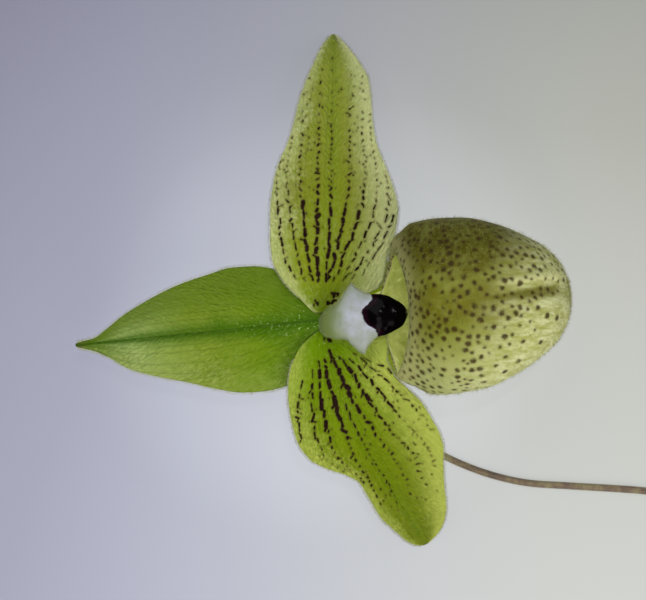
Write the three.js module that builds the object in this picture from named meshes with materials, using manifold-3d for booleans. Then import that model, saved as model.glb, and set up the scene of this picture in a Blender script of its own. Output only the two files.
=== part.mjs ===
// A slipper orchid flower (genus Paphiopedilum) on its cut flower stem, lying on its back.
// Millimetres, +Z up. The flower faces up: the hub, where all its pieces meet, is the point HUB,
// the dorsal sepal points along -X, the two petals along +Y and -Y, and the pouch along +X.
// The part rests on the tips of both petals and on the flower stem.
import * as THREE from "three";
import { mergeVertices } from "three/addons/utils/BufferGeometryUtils.js";
import Module from "manifold-3d";

// ---- driving dimensions ----
const HUB = [-27.2, -6.1, 18]; // puts the middle of the whole part's footprint at the origin
const SURFACE = -HUB[2]; // height of the surface that it lies on, measured from the hub
const BLADE = 0.7; // thickness of a sepal or petal
const BRACT = 0.6;
const LIP_WALL = 0.8;
const SHIELD = 1.3; // thickness of the staminode
const STEM_RADIUS = [0.7, 0.8]; // at the flower and at the cut end
const degrees = THREE.MathUtils.degToRad;

// Each blade is laid out along its own heading, with left positive:
// edges [along, left edge, right edge], rib [along, sideways], lift [along, height of the rib].
const DORSAL_SEPAL = {
  heading: degrees(185.5),
  rows: 24,
  columns: 12,
  edges: [
    [0.1, 1.9, -1.9],
    [0.9, 3, -2.8],
    [3, 7.4, -7],
    [5.5, 10.8, -9.4],
    [8.5, 12.6, -11.1],
    [13, 13.2, -12.1],
    [17, 13, -12.2],
    [22, 11.8, -11.2],
    [28, 9.8, -9.7],
    [34, 8, -7.4],
    [39.5, 5.9, -4.7],
    [43, 3.5, -2.4],
    [46, 1.9, -0.7],
    [48.5, 1.1, -0.3],
    [49.9, 0.6, 0],
  ],
  rib: [
    [0.1, 0],
    [49.9, 0.3],
  ],
  lift: [
    [0.1, -1.58],
    [6, -1.7],
    [12, -1],
    [20, 0.7],
    [30, 1.8],
    [40, 0.6],
    [49.9, -2.6],
  ],
  groove: { depth: 0.9, width: 1.3 },
  arch: 0.008,
  wave: { height: 0.35, length: 19, phase: 0.4 },
};
const SYNSEPAL = {
  heading: degrees(7),
  rows: 14,
  columns: 10,
  edges: [
    [3.4, 2.6, -2.6],
    [5.5, 6.8, -7.2],
    [8.5, 9.6, -11.2],
    [12, 10.2, -12.7],
    [17, 9.7, -12.6],
    [24, 8.8, -11],
    [31, 6.4, -7.8],
    [37, 3, -3.8],
    [41, 0.4, -0.4],
  ],
  rib: [
    [3.4, 0],
    [41, 0],
  ],
  lift: [
    [3.4, -1.75],
    [8, -2.3],
    [15, -2.9],
    [22, -3.3],
    [30, -4.3],
    [41, -9],
  ],
  groove: { depth: 0.4, width: 1.6 },
  arch: 0.006,
  wave: { height: 0.3, length: 15, phase: 0 },
};
const PETAL_RIGHT = {
  heading: degrees(90),
  rows: 26,
  columns: 12,
  edges: [
    [1.5, 1.6, -1.4],
    [1.9, 2.1, -2.1],
    [4, 4.2, -5.4],
    [5.2, 5.4, -8.6],
    [6.4, 6.5, -11],
    [8, 7.8, -12.2],
    [12, 9.9, -12.9],
    [16, 10.3, -14.3],
    [22, 10.3, -15.1],
    [28, 9.6, -13.7],
    [32, 8.4, -12.2],
    [36, 6.7, -10.8],
    [40.5, 5.5, -10.1],
    [44.6, 4.6, -9.9],
    [49, 3.2, -9.5],
    [53.6, 1.4, -7.4],
    [57, -0.1, -5.1],
    [59.8, -2, -2.8],
  ],
  rib: [
    [1.5, -0.1],
    [14, -1.2],
    [34, -2],
    [59.8, -2.4],
  ],
  lift: [
    [1.5, -0.7],
    [4.5, 0.5],
    [10, 1.7],
    [20, 2.2],
    [28, 1.5],
    [36, -0.8],
    [44, -4.8],
    [52, -10.6],
    [59.8, -17.7],
  ],
  groove: { depth: 0.5, width: 1.4 },
  arch: 0.007,
  wave: { height: 0.5, length: 21, phase: 2.1 },
};
const PETAL_LEFT = {
  heading: degrees(-64),
  rows: 26,
  columns: 12,
  edges: [
    [1.8, 0, -2.5],
    [3, 0.9, -6.3],
    [5, 2.3, -9],
    [7.3, 3.6, -10.9],
    [9, 5.8, -11.9],
    [11, 7, -12.9],
    [15.2, 8, -14.3],
    [20.4, 9.6, -15.1],
    [24, 10.8, -14.4],
    [27, 11.1, -12.5],
    [30.5, 11.3, -9.2],
    [33.2, 11, -7.6],
    [37, 9.4, -7.3],
    [41.4, 7.7, -7],
    [46.3, 6, -5.5],
    [49.4, 4, -4.3],
    [51, 2, -3.2],
    [52.1, -0.5, -1.7],
  ],
  rib: [
    [1.8, -1],
    [13.5, -2.6],
    [24, -3.4],
    [37, -2.5],
    [52.1, -1.1],
  ],
  lift: [
    [1.8, -0.6],
    [3.8, 0.5],
    [8, 1.4],
    [14, 1.5],
    [20, 1.1],
    [28, -1.1],
    [36, -5],
    [44, -10.6],
    [52.1, -17.7],
  ],
  groove: { depth: 0.6, width: 1.4 },
  arch: 0.006,
  wave: { height: 0.6, length: 17, phase: 0.9 },
};

// The lip is an inflated pouch, laid out along its own heading: along, left and height.
// Its rings run from the mouth to the toe. Each is bowed from its back to its front point, over a bend.
const LIP_HEADING = degrees(7);
const LIP_RINGS = 22;
const LIP_SECTORS = 36;
const LIP_STATIONS = [
  { back: [10.2, 2.2], bend: [17.8, 4.2], front: [14.8, 19.3] },
  { back: [12.2, 0.2], bend: [20.5, 5.5], front: [17.8, 24] },
  { back: [15, -1.2], bend: [21, 11.5], front: [21.4, 27.1] },
  { back: [20, -1.8], bend: [24, 13.4], front: [26.4, 28.8] },
  { back: [26.2, -1.7], bend: [29.2, 13.6], front: [31.8, 28.9] },
  { back: [32.4, -0.6], bend: [35, 13.6], front: [37, 27.7] },
  { back: [38.2, 1.6], bend: [40.2, 13.4], front: [41.6, 25.2] },
  { back: [43, 4.8], bend: [44.4, 13.3], front: [45, 21.7] },
  { back: [46.3, 8.6], bend: [46.9, 13.1], front: [47.1, 17.7] },
  { back: [47.9, 12.3], bend: [48, 13], front: [48, 13.7] },
];
// Half-width of each ring to the left and to the right: [ring, left, right].
const LIP_HALF = [
  [0, 11.2, 12],
  [0.055, 13.1, 12.7],
  [0.111, 15.3, 14.6],
  [0.222, 16.5, 16.6],
  [0.333, 16.9, 17],
  [0.444, 16.4, 16.7],
  [0.556, 14.5, 14.9],
  [0.667, 11.7, 12.3],
  [0.778, 8.7, 9.3],
  [0.889, 5, 5.6],
  [1, 0.9, 0.9],
];
// How far the middle of each ring stands ahead of its sides: [ring, bow].
const LIP_BOW = [
  [0, 2.1],
  [0.055, 3.5],
  [0.111, 2.6],
  [0.222, 0.5],
  [0.333, 0.3],
  [0.444, 0],
  [1, 0],
];
// Half-width of the mouth from its back (0) to its front (1), against the half-width of the ring.
const MOUTH_SHAPE = [
  [0, 0],
  [0.08, 0.26],
  [0.16, 0.43],
  [0.3, 0.64],
  [0.45, 0.8],
  [0.58, 0.91],
  [0.68, 1],
  [0.77, 0.91],
  [0.86, 0.74],
  [0.94, 0.48],
  [1, 0],
];
const MOUTH_SKEW = 0.087; // the mouth's left side lies further along than its right side
const MARGIN = { share: 0.09, along: 2, drop: 0.5 }; // how far the front of the mouth turns in
const FURROW = { depth: 1.1, width: 1.5, left: 1, start: 28, deepest: 42, fades: 44.5, end: 47.5 }; // over the toe
const CLAW = {
  edges: [
    [4.1, 2.1, -2.1],
    [8, 2.9, -2.9],
    [12.3, 4.4, -4.4],
  ],
  lift: [
    [4.1, 0.25],
    [8, 0.6],
    [12.3, 1.5],
  ],
  trough: 0.07,
};

// The staminode is a convex shield over the column, [along, left edge, right edge].
const STAMINODE = {
  edges: [
    [-0.3, 0.2, -1.9],
    [0.8, 1.8, -2.9],
    [1.9, 2.5, -3.2],
    [2.9, 3.1, -3.3],
    [3.7, 4, -3.3],
    [4.6, 5.6, -3.4],
    [5.8, 6.9, -4.4],
    [7.2, 5.8, -5.8],
    [8.3, 5.3, -6.4],
    [9.1, 5.1, -4.7],
    [10.6, 5.2, -3.3],
    [12.6, 4.9, -2.7],
    [14.2, 4.1, -1.9],
    [15.6, 3.2, -1],
    [16.7, 1.9, 1],
  ],
  rib: [
    [-0.3, -0.8],
    [2.6, 0.2],
    [16.7, 1.4],
  ],
  lift: [
    [-0.3, 2.6],
    [0.8, 5],
    [1.9, 6.8],
    [3.2, 8.3],
    [5, 9.3],
    [8, 10.2],
    [11, 10.8],
    [14, 10.6],
    [16.7, 9.7],
  ],
  crown: 0.07,
};
const COLUMN = {
  path: [
    [1.4, 0, -2.1],
    [1.5, -0.2, 0],
    [2.2, -0.5, 2.4],
    [3.7, 0.1, 4.9],
    [5.8, 0.6, 6.3],
  ],
  radius: [
    [0, 1.1],
    [0.2, 1.25],
    [0.48, 1.5],
    [0.8, 1.5],
    [1, 1.3],
  ],
};
const STIGMA = { at: [7.4, 0.7, 4.4], size: [2.5, 2.5, 1], tilt: degrees(35) };
const FILAMENT = { along: 5.2, side: 1.75, height: 4.9, size: [0.9, 1.2, 0.8] };
const ANTHER = { along: 6.2, side: 4.1, height: 4.9, size: [1.3, 0.85, 0.85] };
const COLUMN_MIDDLE = 0.9; // how far left of the hub the column's head stands

// The ovary curves from the flower stem up to the back of the flower.
const OVARY = {
  path: [
    [18, -24, -16],
    [11, -17, -15.4],
    [5.5, -9.5, -12.4],
    [2.4, -3.9, -8],
    [1.3, -0.6, -4.6],
    [1.2, 0, -2.95],
  ],
  radius: [
    [0, 1.1],
    [0.12, 1.7],
    [0.5, 2.1],
    [0.8, 1.9],
    [0.92, 2],
    [1, 2.7],
  ],
  ribs: 6,
  relief: 0.18,
};
const BRACT_SHAPE = {
  length: 14,
  inner: 2.35, // its radius round the ovary
  wrap: [
    [0, 100],
    [0.4, 105],
    [0.75, 70],
    [1, 8],
  ],
};
const STEM_PATH = [
  [18.5, -24.5],
  [25.6, -28.7],
  [31.4, -31.3],
  [37.3, -33.2],
  [43.2, -34.4],
  [52, -35],
  [63.7, -35.7],
  [82, -37.2],
  [104, -37.6],
];

// ---- curves and solids ----

// A smooth curve through points of one number and one or more values, without overshoot between them.
function through(points, value = 1) {
  const x = points.map((point) => point[0]);
  const y = points.map((point) => point[value]);
  const rise = x.slice(1).map((end, i) => (y[i + 1] - y[i]) / (end - x[i]));
  const slope = x.map((_, i) => {
    if (i === 0) return rise[0];
    if (i === x.length - 1) return rise[i - 1];
    const [before, after] = [rise[i - 1], rise[i]];
    return before * after > 0 ? (2 * before * after) / (before + after) : 0;
  });
  return (at) => {
    const last = x.length - 2;
    const next = x.findIndex((end) => end > at);
    const i = Math.min(last, next < 0 ? last : Math.max(0, next - 1));
    const width = x[i + 1] - x[i];
    const t = THREE.MathUtils.clamp((at - x[i]) / width, 0, 1);
    const u = 1 - t;
    const start = y[i] + (width * slope[i]) / 3;
    const end = y[i + 1] - (width * slope[i + 1]) / 3;
    return u * u * (u * y[i] + 3 * t * start) + t * t * (t * y[i + 1] + 3 * u * end);
  };
}

// Triangles, given corner by corner, as one geometry. Those that have shrunk to nothing are left out.
class Skin {
  corners = [];

  triangle(a, b, c) {
    const thin = 1e-4;
    if (Math.min(a.distanceTo(b), b.distanceTo(c), c.distanceTo(a)) > thin) this.corners.push(a, b, c);
  }

  quad(a, b, c, d) {
    this.triangle(a, b, c);
    this.triangle(a, c, d);
  }

  geometry() {
    return mergeVertices(new THREE.BufferGeometry().setFromPoints(this.corners), 1e-4);
  }
}

const middle = (points) =>
  points.reduce((sum, point) => sum.add(point), new THREE.Vector3()).divideScalar(points.length);

// The unit normals of a grid of points. A closed grid's rows run round.
function normals(rows, closed) {
  const last = rows.length - 1;
  return rows.map((row, i) =>
    row.map((_, j) => {
      const count = row.length;
      const before = closed ? (j + count - 1) % count : Math.max(0, j - 1);
      const after = closed ? (j + 1) % count : Math.min(count - 1, j + 1);
      const across = row[after].clone().sub(row[before]);
      const along = rows[Math.min(last, i + 1)][j].clone().sub(rows[Math.max(0, i - 1)][j]);
      return across.cross(along).normalize();
    }),
  );
}

// A thin solid on both sides of a grid of points, with both faces split into triangles alike.
// A closed grid is a sack: its rows run round, its first row is its mouth, and its last row is filled.
function sheet(rows, above, below, closed = false) {
  const normal = normals(rows, closed);
  const offset = (by) => rows.map((row, i) => row.map((p, j) => p.clone().addScaledVector(normal[i][j], by)));
  const top = offset(above);
  const bottom = offset(-below);
  const skin = new Skin();
  const count = rows[0].length;
  const columns = closed ? count : count - 1;
  for (let i = 0; i + 1 < rows.length; i++) {
    for (let j = 0; j < columns; j++) {
      const k = (j + 1) % count;
      skin.quad(top[i][j], top[i][k], top[i + 1][k], top[i + 1][j]);
      skin.quad(bottom[i][j], bottom[i + 1][j], bottom[i + 1][k], bottom[i][k]);
    }
  }
  const wall = (topA, topB, bottomA, bottomB) => skin.quad(topB, topA, bottomA, bottomB);
  const end = rows.length - 1;
  const [topEnd, bottomEnd] = [middle(top[end]), middle(bottom[end])];
  for (let j = 0; j < columns; j++) {
    const k = (j + 1) % count;
    wall(top[0][j], top[0][k], bottom[0][j], bottom[0][k]);
    if (closed) {
      skin.triangle(top[end][j], top[end][k], topEnd);
      skin.triangle(bottom[end][k], bottom[end][j], bottomEnd);
    } else {
      wall(top[end][k], top[end][j], bottom[end][k], bottom[end][j]);
    }
  }
  for (let i = 0; i < end && !closed; i++) {
    wall(top[i][columns], top[i + 1][columns], bottom[i][columns], bottom[i + 1][columns]);
    wall(top[i + 1][0], top[i][0], bottom[i + 1][0], bottom[i][0]);
  }
  return skin.geometry();
}

// A solid through closed rings of points, filled at both ends.
function loft(rings) {
  const skin = new Skin();
  const count = rings[0].length;
  for (let i = 0; i + 1 < rings.length; i++) {
    for (let j = 0; j < count; j++) {
      const k = (j + 1) % count;
      skin.quad(rings[i][j], rings[i][k], rings[i + 1][k], rings[i + 1][j]);
    }
  }
  const [first, last] = [rings[0], rings[rings.length - 1]];
  const [start, end] = [middle(first), middle(last)];
  for (let j = 0; j < count; j++) {
    const k = (j + 1) % count;
    skin.triangle(first[k], first[j], start);
    skin.triangle(last[j], last[k], end);
  }
  return skin.geometry();
}

const vector = ([x, y, z]) => new THREE.Vector3(x, y, z);
const curveOf = (points) => new THREE.CatmullRomCurve3(points.map(vector), false, "centripetal");
const steps = (count) => Array.from({ length: count + 1 }, (_, i) => i / count);

// Where a curve stands at a share of its length, with its own side and up directions.
// The hint is a direction that the curve never takes.
function stationOn(curve, share, hint) {
  const forward = curve.getTangentAt(share);
  const side = hint.clone().cross(forward).normalize();
  return { at: curve.getPointAt(share), side, up: forward.clone().cross(side), forward };
}

// A solid carried along a curve. radius(share, angle) gives its section.
function sweep(curve, hint, rings, sectors, radius) {
  return loft(
    steps(rings).map((share) => {
      const { at, side, up } = stationOn(curve, share, hint);
      return Array.from({ length: sectors }, (_, j) => {
        const angle = (j / sectors) * 2 * Math.PI;
        const out = radius(share, angle);
        return at.clone().addScaledVector(side, out * Math.cos(angle)).addScaledVector(up, out * Math.sin(angle));
      });
    }),
  );
}

function ellipsoid([x, y, z]) {
  return new THREE.SphereGeometry(1, 14, 8).scale(x, y, z);
}

const wasm = await Module();
wasm.setup();

// Several closed geometries joined into one.
function fuse(geometries) {
  const solids = geometries.map((geometry) => {
    geometry.deleteAttribute("normal");
    geometry.deleteAttribute("uv");
    const { attributes, index } = mergeVertices(geometry, 1e-4);
    const triVerts = new Uint32Array(index.array);
    return new wasm.Manifold(new wasm.Mesh({ numProp: 3, vertProperties: attributes.position.array, triVerts }));
  });
  const { vertProperties, triVerts } = solids.reduce((sum, solid) => sum.add(solid)).getMesh();
  const geometry = new THREE.BufferGeometry();
  geometry.setAttribute("position", new THREE.BufferAttribute(vertProperties, 3));
  geometry.setIndex(new THREE.BufferAttribute(triVerts, 1));
  return geometry;
}

// ---- pieces ----

// The middle surface of a blade, from its left to its right edge and from its base to its tip.
// Across, it has a groove over the rib and bends back towards its edges, which are gently waved.
function bladeRows({ heading, rows, columns, edges, rib, lift, groove, arch, wave }) {
  const [left, right, ribAt, height] = [through(edges), through(edges, 2), through(rib), through(lift)];
  const [start, end] = [edges[0][0], edges[edges.length - 1][0]];
  const crowded = 0.4; // how much closer the rows lie towards both ends
  return steps(rows).map((step) => {
    const eased = (1 - Math.cos(Math.PI * step)) / 2;
    const along = start + (end - start) * (crowded * eased + (1 - crowded) * step);
    return steps(columns).map((column) => {
      const side = 1 - 2 * column;
      const middleLine = ribAt(along);
      const reach = side > 0 ? left(along) - middleLine : middleLine - right(along);
      const out = side * reach;
      const dip = groove.depth * Math.exp(-((out / groove.width) ** 2)) * Math.min(1, reach / groove.width);
      const ripple = wave.height * side ** 2 * Math.sin((2 * Math.PI * along) / wave.length + wave.phase + side);
      const fade = Math.sin(Math.PI * THREE.MathUtils.clamp((along - start) / (end - start), 0, 1));
      return new THREE.Vector3(
        along,
        middleLine + out,
        height(along) - fade * (dip + arch * out ** 2 - ripple),
      ).applyAxisAngle(new THREE.Vector3(0, 0, 1), heading);
    });
  });
}

const blade = (shape) => sheet(bladeRows(shape), BLADE / 2, BLADE / 2);

// A value of the pouch's stations, as a curve from the mouth (0) to the toe (1).
const lipValue = (pick) => {
  const last = LIP_STATIONS.length - 1;
  return through(LIP_STATIONS.map((station, i) => [i / last, pick(station)]));
};
const lipCurves = {
  back: [lipValue((s) => s.back[0]), lipValue((s) => s.back[1])],
  bend: [lipValue((s) => s.bend[0]), lipValue((s) => s.bend[1])],
  front: [lipValue((s) => s.front[0]), lipValue((s) => s.front[1])],
  half: [through(LIP_HALF), through(LIP_HALF, 2)],
  bow: through(LIP_BOW),
};
const mouthShape = through(MOUTH_SHAPE);

// A point of the pouch's outside: ring 0 is the mouth and 1 the toe, angle 0 its back and half a turn its front.
function lipPoint(ring, angle) {
  const toFront = (1 - Math.cos(angle)) / 2;
  const bowed = (axis) => {
    const [back, bend, front] = [lipCurves.back[axis], lipCurves.bend[axis], lipCurves.front[axis]];
    const toBack = 1 - toFront;
    return toBack ** 2 * back(ring) + 2 * toBack * toFront * bend(ring) + toFront ** 2 * front(ring);
  };
  const round = Math.abs(Math.sin(angle)) ** 0.9;
  const asMouth = 1 - THREE.MathUtils.smoothstep(ring, 0, 0.24);
  const width = THREE.MathUtils.lerp(round, mouthShape(toFront), asMouth);
  const side = Math.sin(angle) < 0 ? -1 : 1;
  const half = lipCurves.half[side > 0 ? 0 : 1](ring);
  const turnedIn = Math.max(0, 1 - ring / MARGIN.share) ** 2 * THREE.MathUtils.smoothstep(toFront, 0.5, 0.8);
  const left = side * width * half * (1 - 0.06 * turnedIn);
  const along =
    bowed(0) - lipCurves.bow(ring) * width ** 2 + MOUTH_SKEW * left * asMouth + MARGIN.along * turnedIn;
  const across = Math.exp(-(((left - FURROW.left) / FURROW.width) ** 2));
  const rise = THREE.MathUtils.smoothstep(along, FURROW.start, FURROW.deepest);
  const fade = 1 - THREE.MathUtils.smoothstep(along, FURROW.fades, FURROW.end);
  const furrow = FURROW.depth * across * rise * fade * THREE.MathUtils.smoothstep(toFront, 0.5, 0.9);
  return new THREE.Vector3(along, left, bowed(1) - MARGIN.drop * turnedIn - furrow);
}

function lipGeometry() {
  const turn = new THREE.Vector3(0, 0, 1);
  const crowding = 0.25; // how much closer the points lie along the front and the back
  const pouch = steps(LIP_RINGS).map((step) =>
    Array.from({ length: LIP_SECTORS }, (_, j) => {
      const share = (j / LIP_SECTORS) * 2 * Math.PI;
      const ring = 0.35 * step ** 2 + 0.65 * step;
      return lipPoint(ring, share - crowding * Math.sin(2 * share)).applyAxisAngle(turn, LIP_HEADING);
    }),
  );
  const [left, right, height] = [through(CLAW.edges), through(CLAW.edges, 2), through(CLAW.lift)];
  const [start, end] = [CLAW.edges[0][0], CLAW.edges[CLAW.edges.length - 1][0]];
  const claw = steps(8).map((step) =>
    steps(8).map((column) => {
      const along = THREE.MathUtils.lerp(start, end, step);
      const across = THREE.MathUtils.lerp(left(along), right(along), column);
      const lift = height(along) + CLAW.trough * across ** 2;
      return new THREE.Vector3(along, across, lift).applyAxisAngle(turn, LIP_HEADING);
    }),
  );
  return fuse([sheet(pouch, 0, LIP_WALL, true), sheet(claw, LIP_WALL / 2, LIP_WALL / 2)]);
}

function staminodeGeometry() {
  const { edges, rib, lift, crown } = STAMINODE;
  const shape = { heading: 0, rows: 16, columns: 10, edges, rib, lift, arch: crown };
  const flat = { groove: { depth: 0, width: 1 }, wave: { height: 0, length: 1, phase: 0 } };
  return sheet(bladeRows({ ...shape, ...flat }), SHIELD / 2, SHIELD / 2);
}

function columnGeometry() {
  const radius = through(COLUMN.radius);
  const stalk = sweep(curveOf(COLUMN.path), new THREE.Vector3(0, 1, 0), 12, 16, (share) => radius(share));
  const stigma = ellipsoid(STIGMA.size).rotateY(STIGMA.tilt).translate(...STIGMA.at);
  const filaments = [1, -1].map((side) =>
    ellipsoid(FILAMENT.size).translate(FILAMENT.along, COLUMN_MIDDLE + side * FILAMENT.side, FILAMENT.height),
  );
  return fuse([stalk, stigma, ...filaments]);
}

const antherGeometry = (side) =>
  ellipsoid(ANTHER.size).translate(ANTHER.along, COLUMN_MIDDLE + side * ANTHER.side, ANTHER.height);

const ovaryCurve = curveOf(OVARY.path);
const ovaryHint = new THREE.Vector3(24, 17, 0).normalize(); // level, and square to the way that it curves

function ovaryGeometry() {
  const radius = through(OVARY.radius);
  const ribbed = (angle) => 1 - OVARY.relief * Math.abs(Math.sin((OVARY.ribs * angle) / 2)) ** 2;
  return sweep(ovaryCurve, ovaryHint, 22, 18, (share, angle) => radius(share) * ribbed(angle));
}

// The bract is a pointed leaf that clasps the foot of the ovary from above.
function bractGeometry() {
  const wrap = through(BRACT_SHAPE.wrap);
  const reach = BRACT_SHAPE.length / ovaryCurve.getLength();
  const up = new THREE.Vector3(0, 0, 1);
  const rows = steps(12).map((step) => {
    const { at, forward } = stationOn(ovaryCurve, 0.03 + step * reach, ovaryHint);
    const side = up.clone().cross(forward).normalize();
    const over = forward.clone().cross(side);
    return steps(8).map((column) => {
      const angle = degrees(wrap(step)) * (1 - 2 * column);
      const out = BRACT_SHAPE.inner + BRACT / 2;
      return at.clone().addScaledVector(side, out * Math.sin(angle)).addScaledVector(over, out * Math.cos(angle));
    });
  });
  return sheet(rows, BRACT / 2, BRACT / 2);
}

// The flower stem lies on the surface, on a narrow flat.
function stemGeometry() {
  const sectors = 10;
  const radiusAt = (share) => THREE.MathUtils.lerp(...STEM_RADIUS, share);
  const [first] = STEM_PATH;
  const flatTurn = Math.PI / sectors; // brings a side, and not a corner, of the section down
  const plan = curveOf(STEM_PATH.map(([x, y]) => [x, y, 0]));
  const up = new THREE.Vector3(0, 0, 1);
  const rings = steps(34).map((share) => {
    const { at, side } = stationOn(plan, share, up);
    const lowest = radiusAt(share) * Math.cos(flatTurn);
    const rise = 0.9 * Math.max(0, 1 - at.distanceTo(vector([...first, 0])) / 9) ** 2;
    return Array.from({ length: sectors }, (_, j) => {
      const angle = ((j + 0.5) / sectors) * 2 * Math.PI - Math.PI / 2;
      const out = radiusAt(share);
      const height = SURFACE + lowest + rise + out * Math.sin(angle);
      return at.clone().addScaledVector(side, out * Math.cos(angle)).setZ(height);
    });
  });
  return loft(rings);
}

// ---- the part ----

const finish = (color, roughness) => new THREE.MeshStandardMaterial({ color, roughness, metalness: 0 });
const sepalGreen = finish(0x5f7f1f, 0.5);
const petalGreen = finish(0x83903c, 0.5);
const lipYellow = finish(0x8c8c4c, 0.45);
const waxWhite = finish(0xe6e8dc, 0.4);
const pollenYellow = finish(0xd9c27a, 0.5);
const stemBrown = finish(0x5b4a3a, 0.6);

const flower = new THREE.Group();
const pieces = [
  ["dorsal_sepal", blade(DORSAL_SEPAL), sepalGreen],
  ["synsepal", blade(SYNSEPAL), sepalGreen],
  ["petal_right", blade(PETAL_RIGHT), petalGreen],
  ["petal_left", blade(PETAL_LEFT), petalGreen],
  ["lip", lipGeometry(), lipYellow],
  ["column", columnGeometry(), waxWhite],
  ["staminode", staminodeGeometry(), waxWhite],
  ["anther_right", antherGeometry(1), pollenYellow],
  ["anther_left", antherGeometry(-1), pollenYellow],
  ["ovary", ovaryGeometry(), sepalGreen],
  ["bract", bractGeometry(), sepalGreen],
  ["scape", stemGeometry(), stemBrown],
];
for (const [name, geometry, material] of pieces) {
  geometry.computeVertexNormals();
  const mesh = new THREE.Mesh(geometry, material);
  mesh.name = name;
  flower.add(mesh);
}
flower.position.set(...HUB);

export default flower;
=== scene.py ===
"""A slipper orchid flower (genus Paphiopedilum), cut with its flower stem and lying on its back.

The pieces come in the order in which they grow from one another: flower stem, ovary, bract, sepals,
petals, pouch, column, anthers and staminode. Lengths are in millimetres from the hub, the point
where all the pieces of the flower meet, until a mesh is made.
"""

import math

import bpy
import numpy as np
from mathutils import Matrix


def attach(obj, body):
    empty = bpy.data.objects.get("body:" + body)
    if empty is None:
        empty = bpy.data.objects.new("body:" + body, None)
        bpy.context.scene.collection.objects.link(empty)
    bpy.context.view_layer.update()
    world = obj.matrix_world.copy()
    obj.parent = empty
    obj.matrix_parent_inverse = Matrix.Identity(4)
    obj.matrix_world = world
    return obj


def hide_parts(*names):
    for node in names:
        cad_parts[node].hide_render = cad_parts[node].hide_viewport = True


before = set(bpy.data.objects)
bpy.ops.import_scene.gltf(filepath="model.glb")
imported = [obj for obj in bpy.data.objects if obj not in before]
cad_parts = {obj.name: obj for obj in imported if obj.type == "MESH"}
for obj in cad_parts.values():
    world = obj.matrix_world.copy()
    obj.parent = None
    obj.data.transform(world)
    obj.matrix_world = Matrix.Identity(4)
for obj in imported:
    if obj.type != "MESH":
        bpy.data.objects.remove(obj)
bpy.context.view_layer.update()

# ---- flower stem ----
# The flower stem, or scape, is a solid stalk, purple-brown over green and covered with short down.
# It grew upright. Cut and laid down, it rests on its whole length.
HUB = np.array([-27.2, -6.1, 18.0])  # the hub's place in the part's own frame
SURFACE = -HUB[2]
STEM_RADIUS = (0.7, 0.8)
# It starts 1.8 mm up inside the ovary's foot, as the two are grown together.
STEM_PATH = [
    (17.2, -23.3), (18.5, -24.5), (25.6, -28.7), (31.4, -31.3), (37.3, -33.2), (43.2, -34.4),
    (52, -35), (63.7, -35.7), (82, -37.2), (104, -37.6),
]
STEM_DOWN = 5200  # number of hairs


def linear(hex_colour):
    """An sRGB hex colour as linear light: a channel c is c/12.92 up to 0.04045, else ((c+0.055)/1.055)^2.4."""
    channels = [int(hex_colour[i : i + 2], 16) / 255 for i in (1, 3, 5)]
    return tuple(c / 12.92 if c <= 0.04045 else ((c + 0.055) / 1.055) ** 2.4 for c in channels) + (1.0,)


def put(tree, node, inputs):
    """Sets each of a node's inputs to a value, or links it to another node's output."""
    for name, value in inputs.items():
        if isinstance(value, bpy.types.NodeSocket):
            tree.links.new(value, node.inputs[name])
        else:
            node.inputs[name].default_value = value


def add(tree, kind, inputs=None, stops=None, **settings):
    """Adds one node. settings are its own options, stops the colours of a ramp, and inputs its values or links."""
    made = tree.nodes.new("ShaderNode" + kind)
    for name, value in settings.items():
        setattr(made, name, value)
    for i, (place, colour) in enumerate(stops or []):
        ramp = made.color_ramp.elements
        element = ramp[i] if i < len(ramp) and i < 2 else ramp.new(place)
        element.position, element.color = place, linear(colour)
    put(tree, made, inputs or {})
    return made


def laid_over(tree, ground, value, span, share, colour):
    """The ground with a colour laid over it. The colour's share eases from the first to the second of share
    while the value runs over its span."""
    ease = {0: value, 1: span[0], 2: span[1], 3: share[0], 4: share[1]}
    eased = add(tree, "MapRange", ease, interpolation_type="SMOOTHSTEP").outputs[0]
    colour = linear(colour) if isinstance(colour, str) else colour
    return add(tree, "Mix", {0: eased, 6: ground, 7: colour}, data_type="RGBA").outputs[2]


def finish(name):
    """A new material: its node tree, its shader and its object coordinates."""
    material = bpy.data.materials.new(name)
    material.use_nodes = True
    tree = material.node_tree
    shader = tree.nodes["Principled BSDF"]
    return material, tree, shader, add(tree, "TexCoord").outputs["Object"]


def so_far(material):
    """The node tree, the shader and the colour so far of a skin that gets more colour laid over it."""
    tree = material.node_tree
    shader = tree.nodes["Principled BSDF"]
    return tree, shader, shader.inputs["Base Color"].links[0].from_socket


def unit(vectors):
    """Vectors at a length of 1."""
    return vectors / np.maximum(np.linalg.norm(vectors, axis=-1, keepdims=True), 1e-9)


def turned(heading, along, across, height):
    """Points of a blade or pouch that points away from the hub at a heading, counted from x towards y."""
    turn_cos, turn_sin = math.cos(heading), math.sin(heading)
    return np.stack([along * turn_cos - across * turn_sin, along * turn_sin + across * turn_cos, height], axis=-1)


def smooth(value, low, high):
    """0 below low and 1 above high, and 3t^2 - 2t^3 between, where t is the share of the way."""
    t = np.clip((value - low) / (high - low), 0, 1)
    return t * t * (3 - 2 * t)


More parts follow.
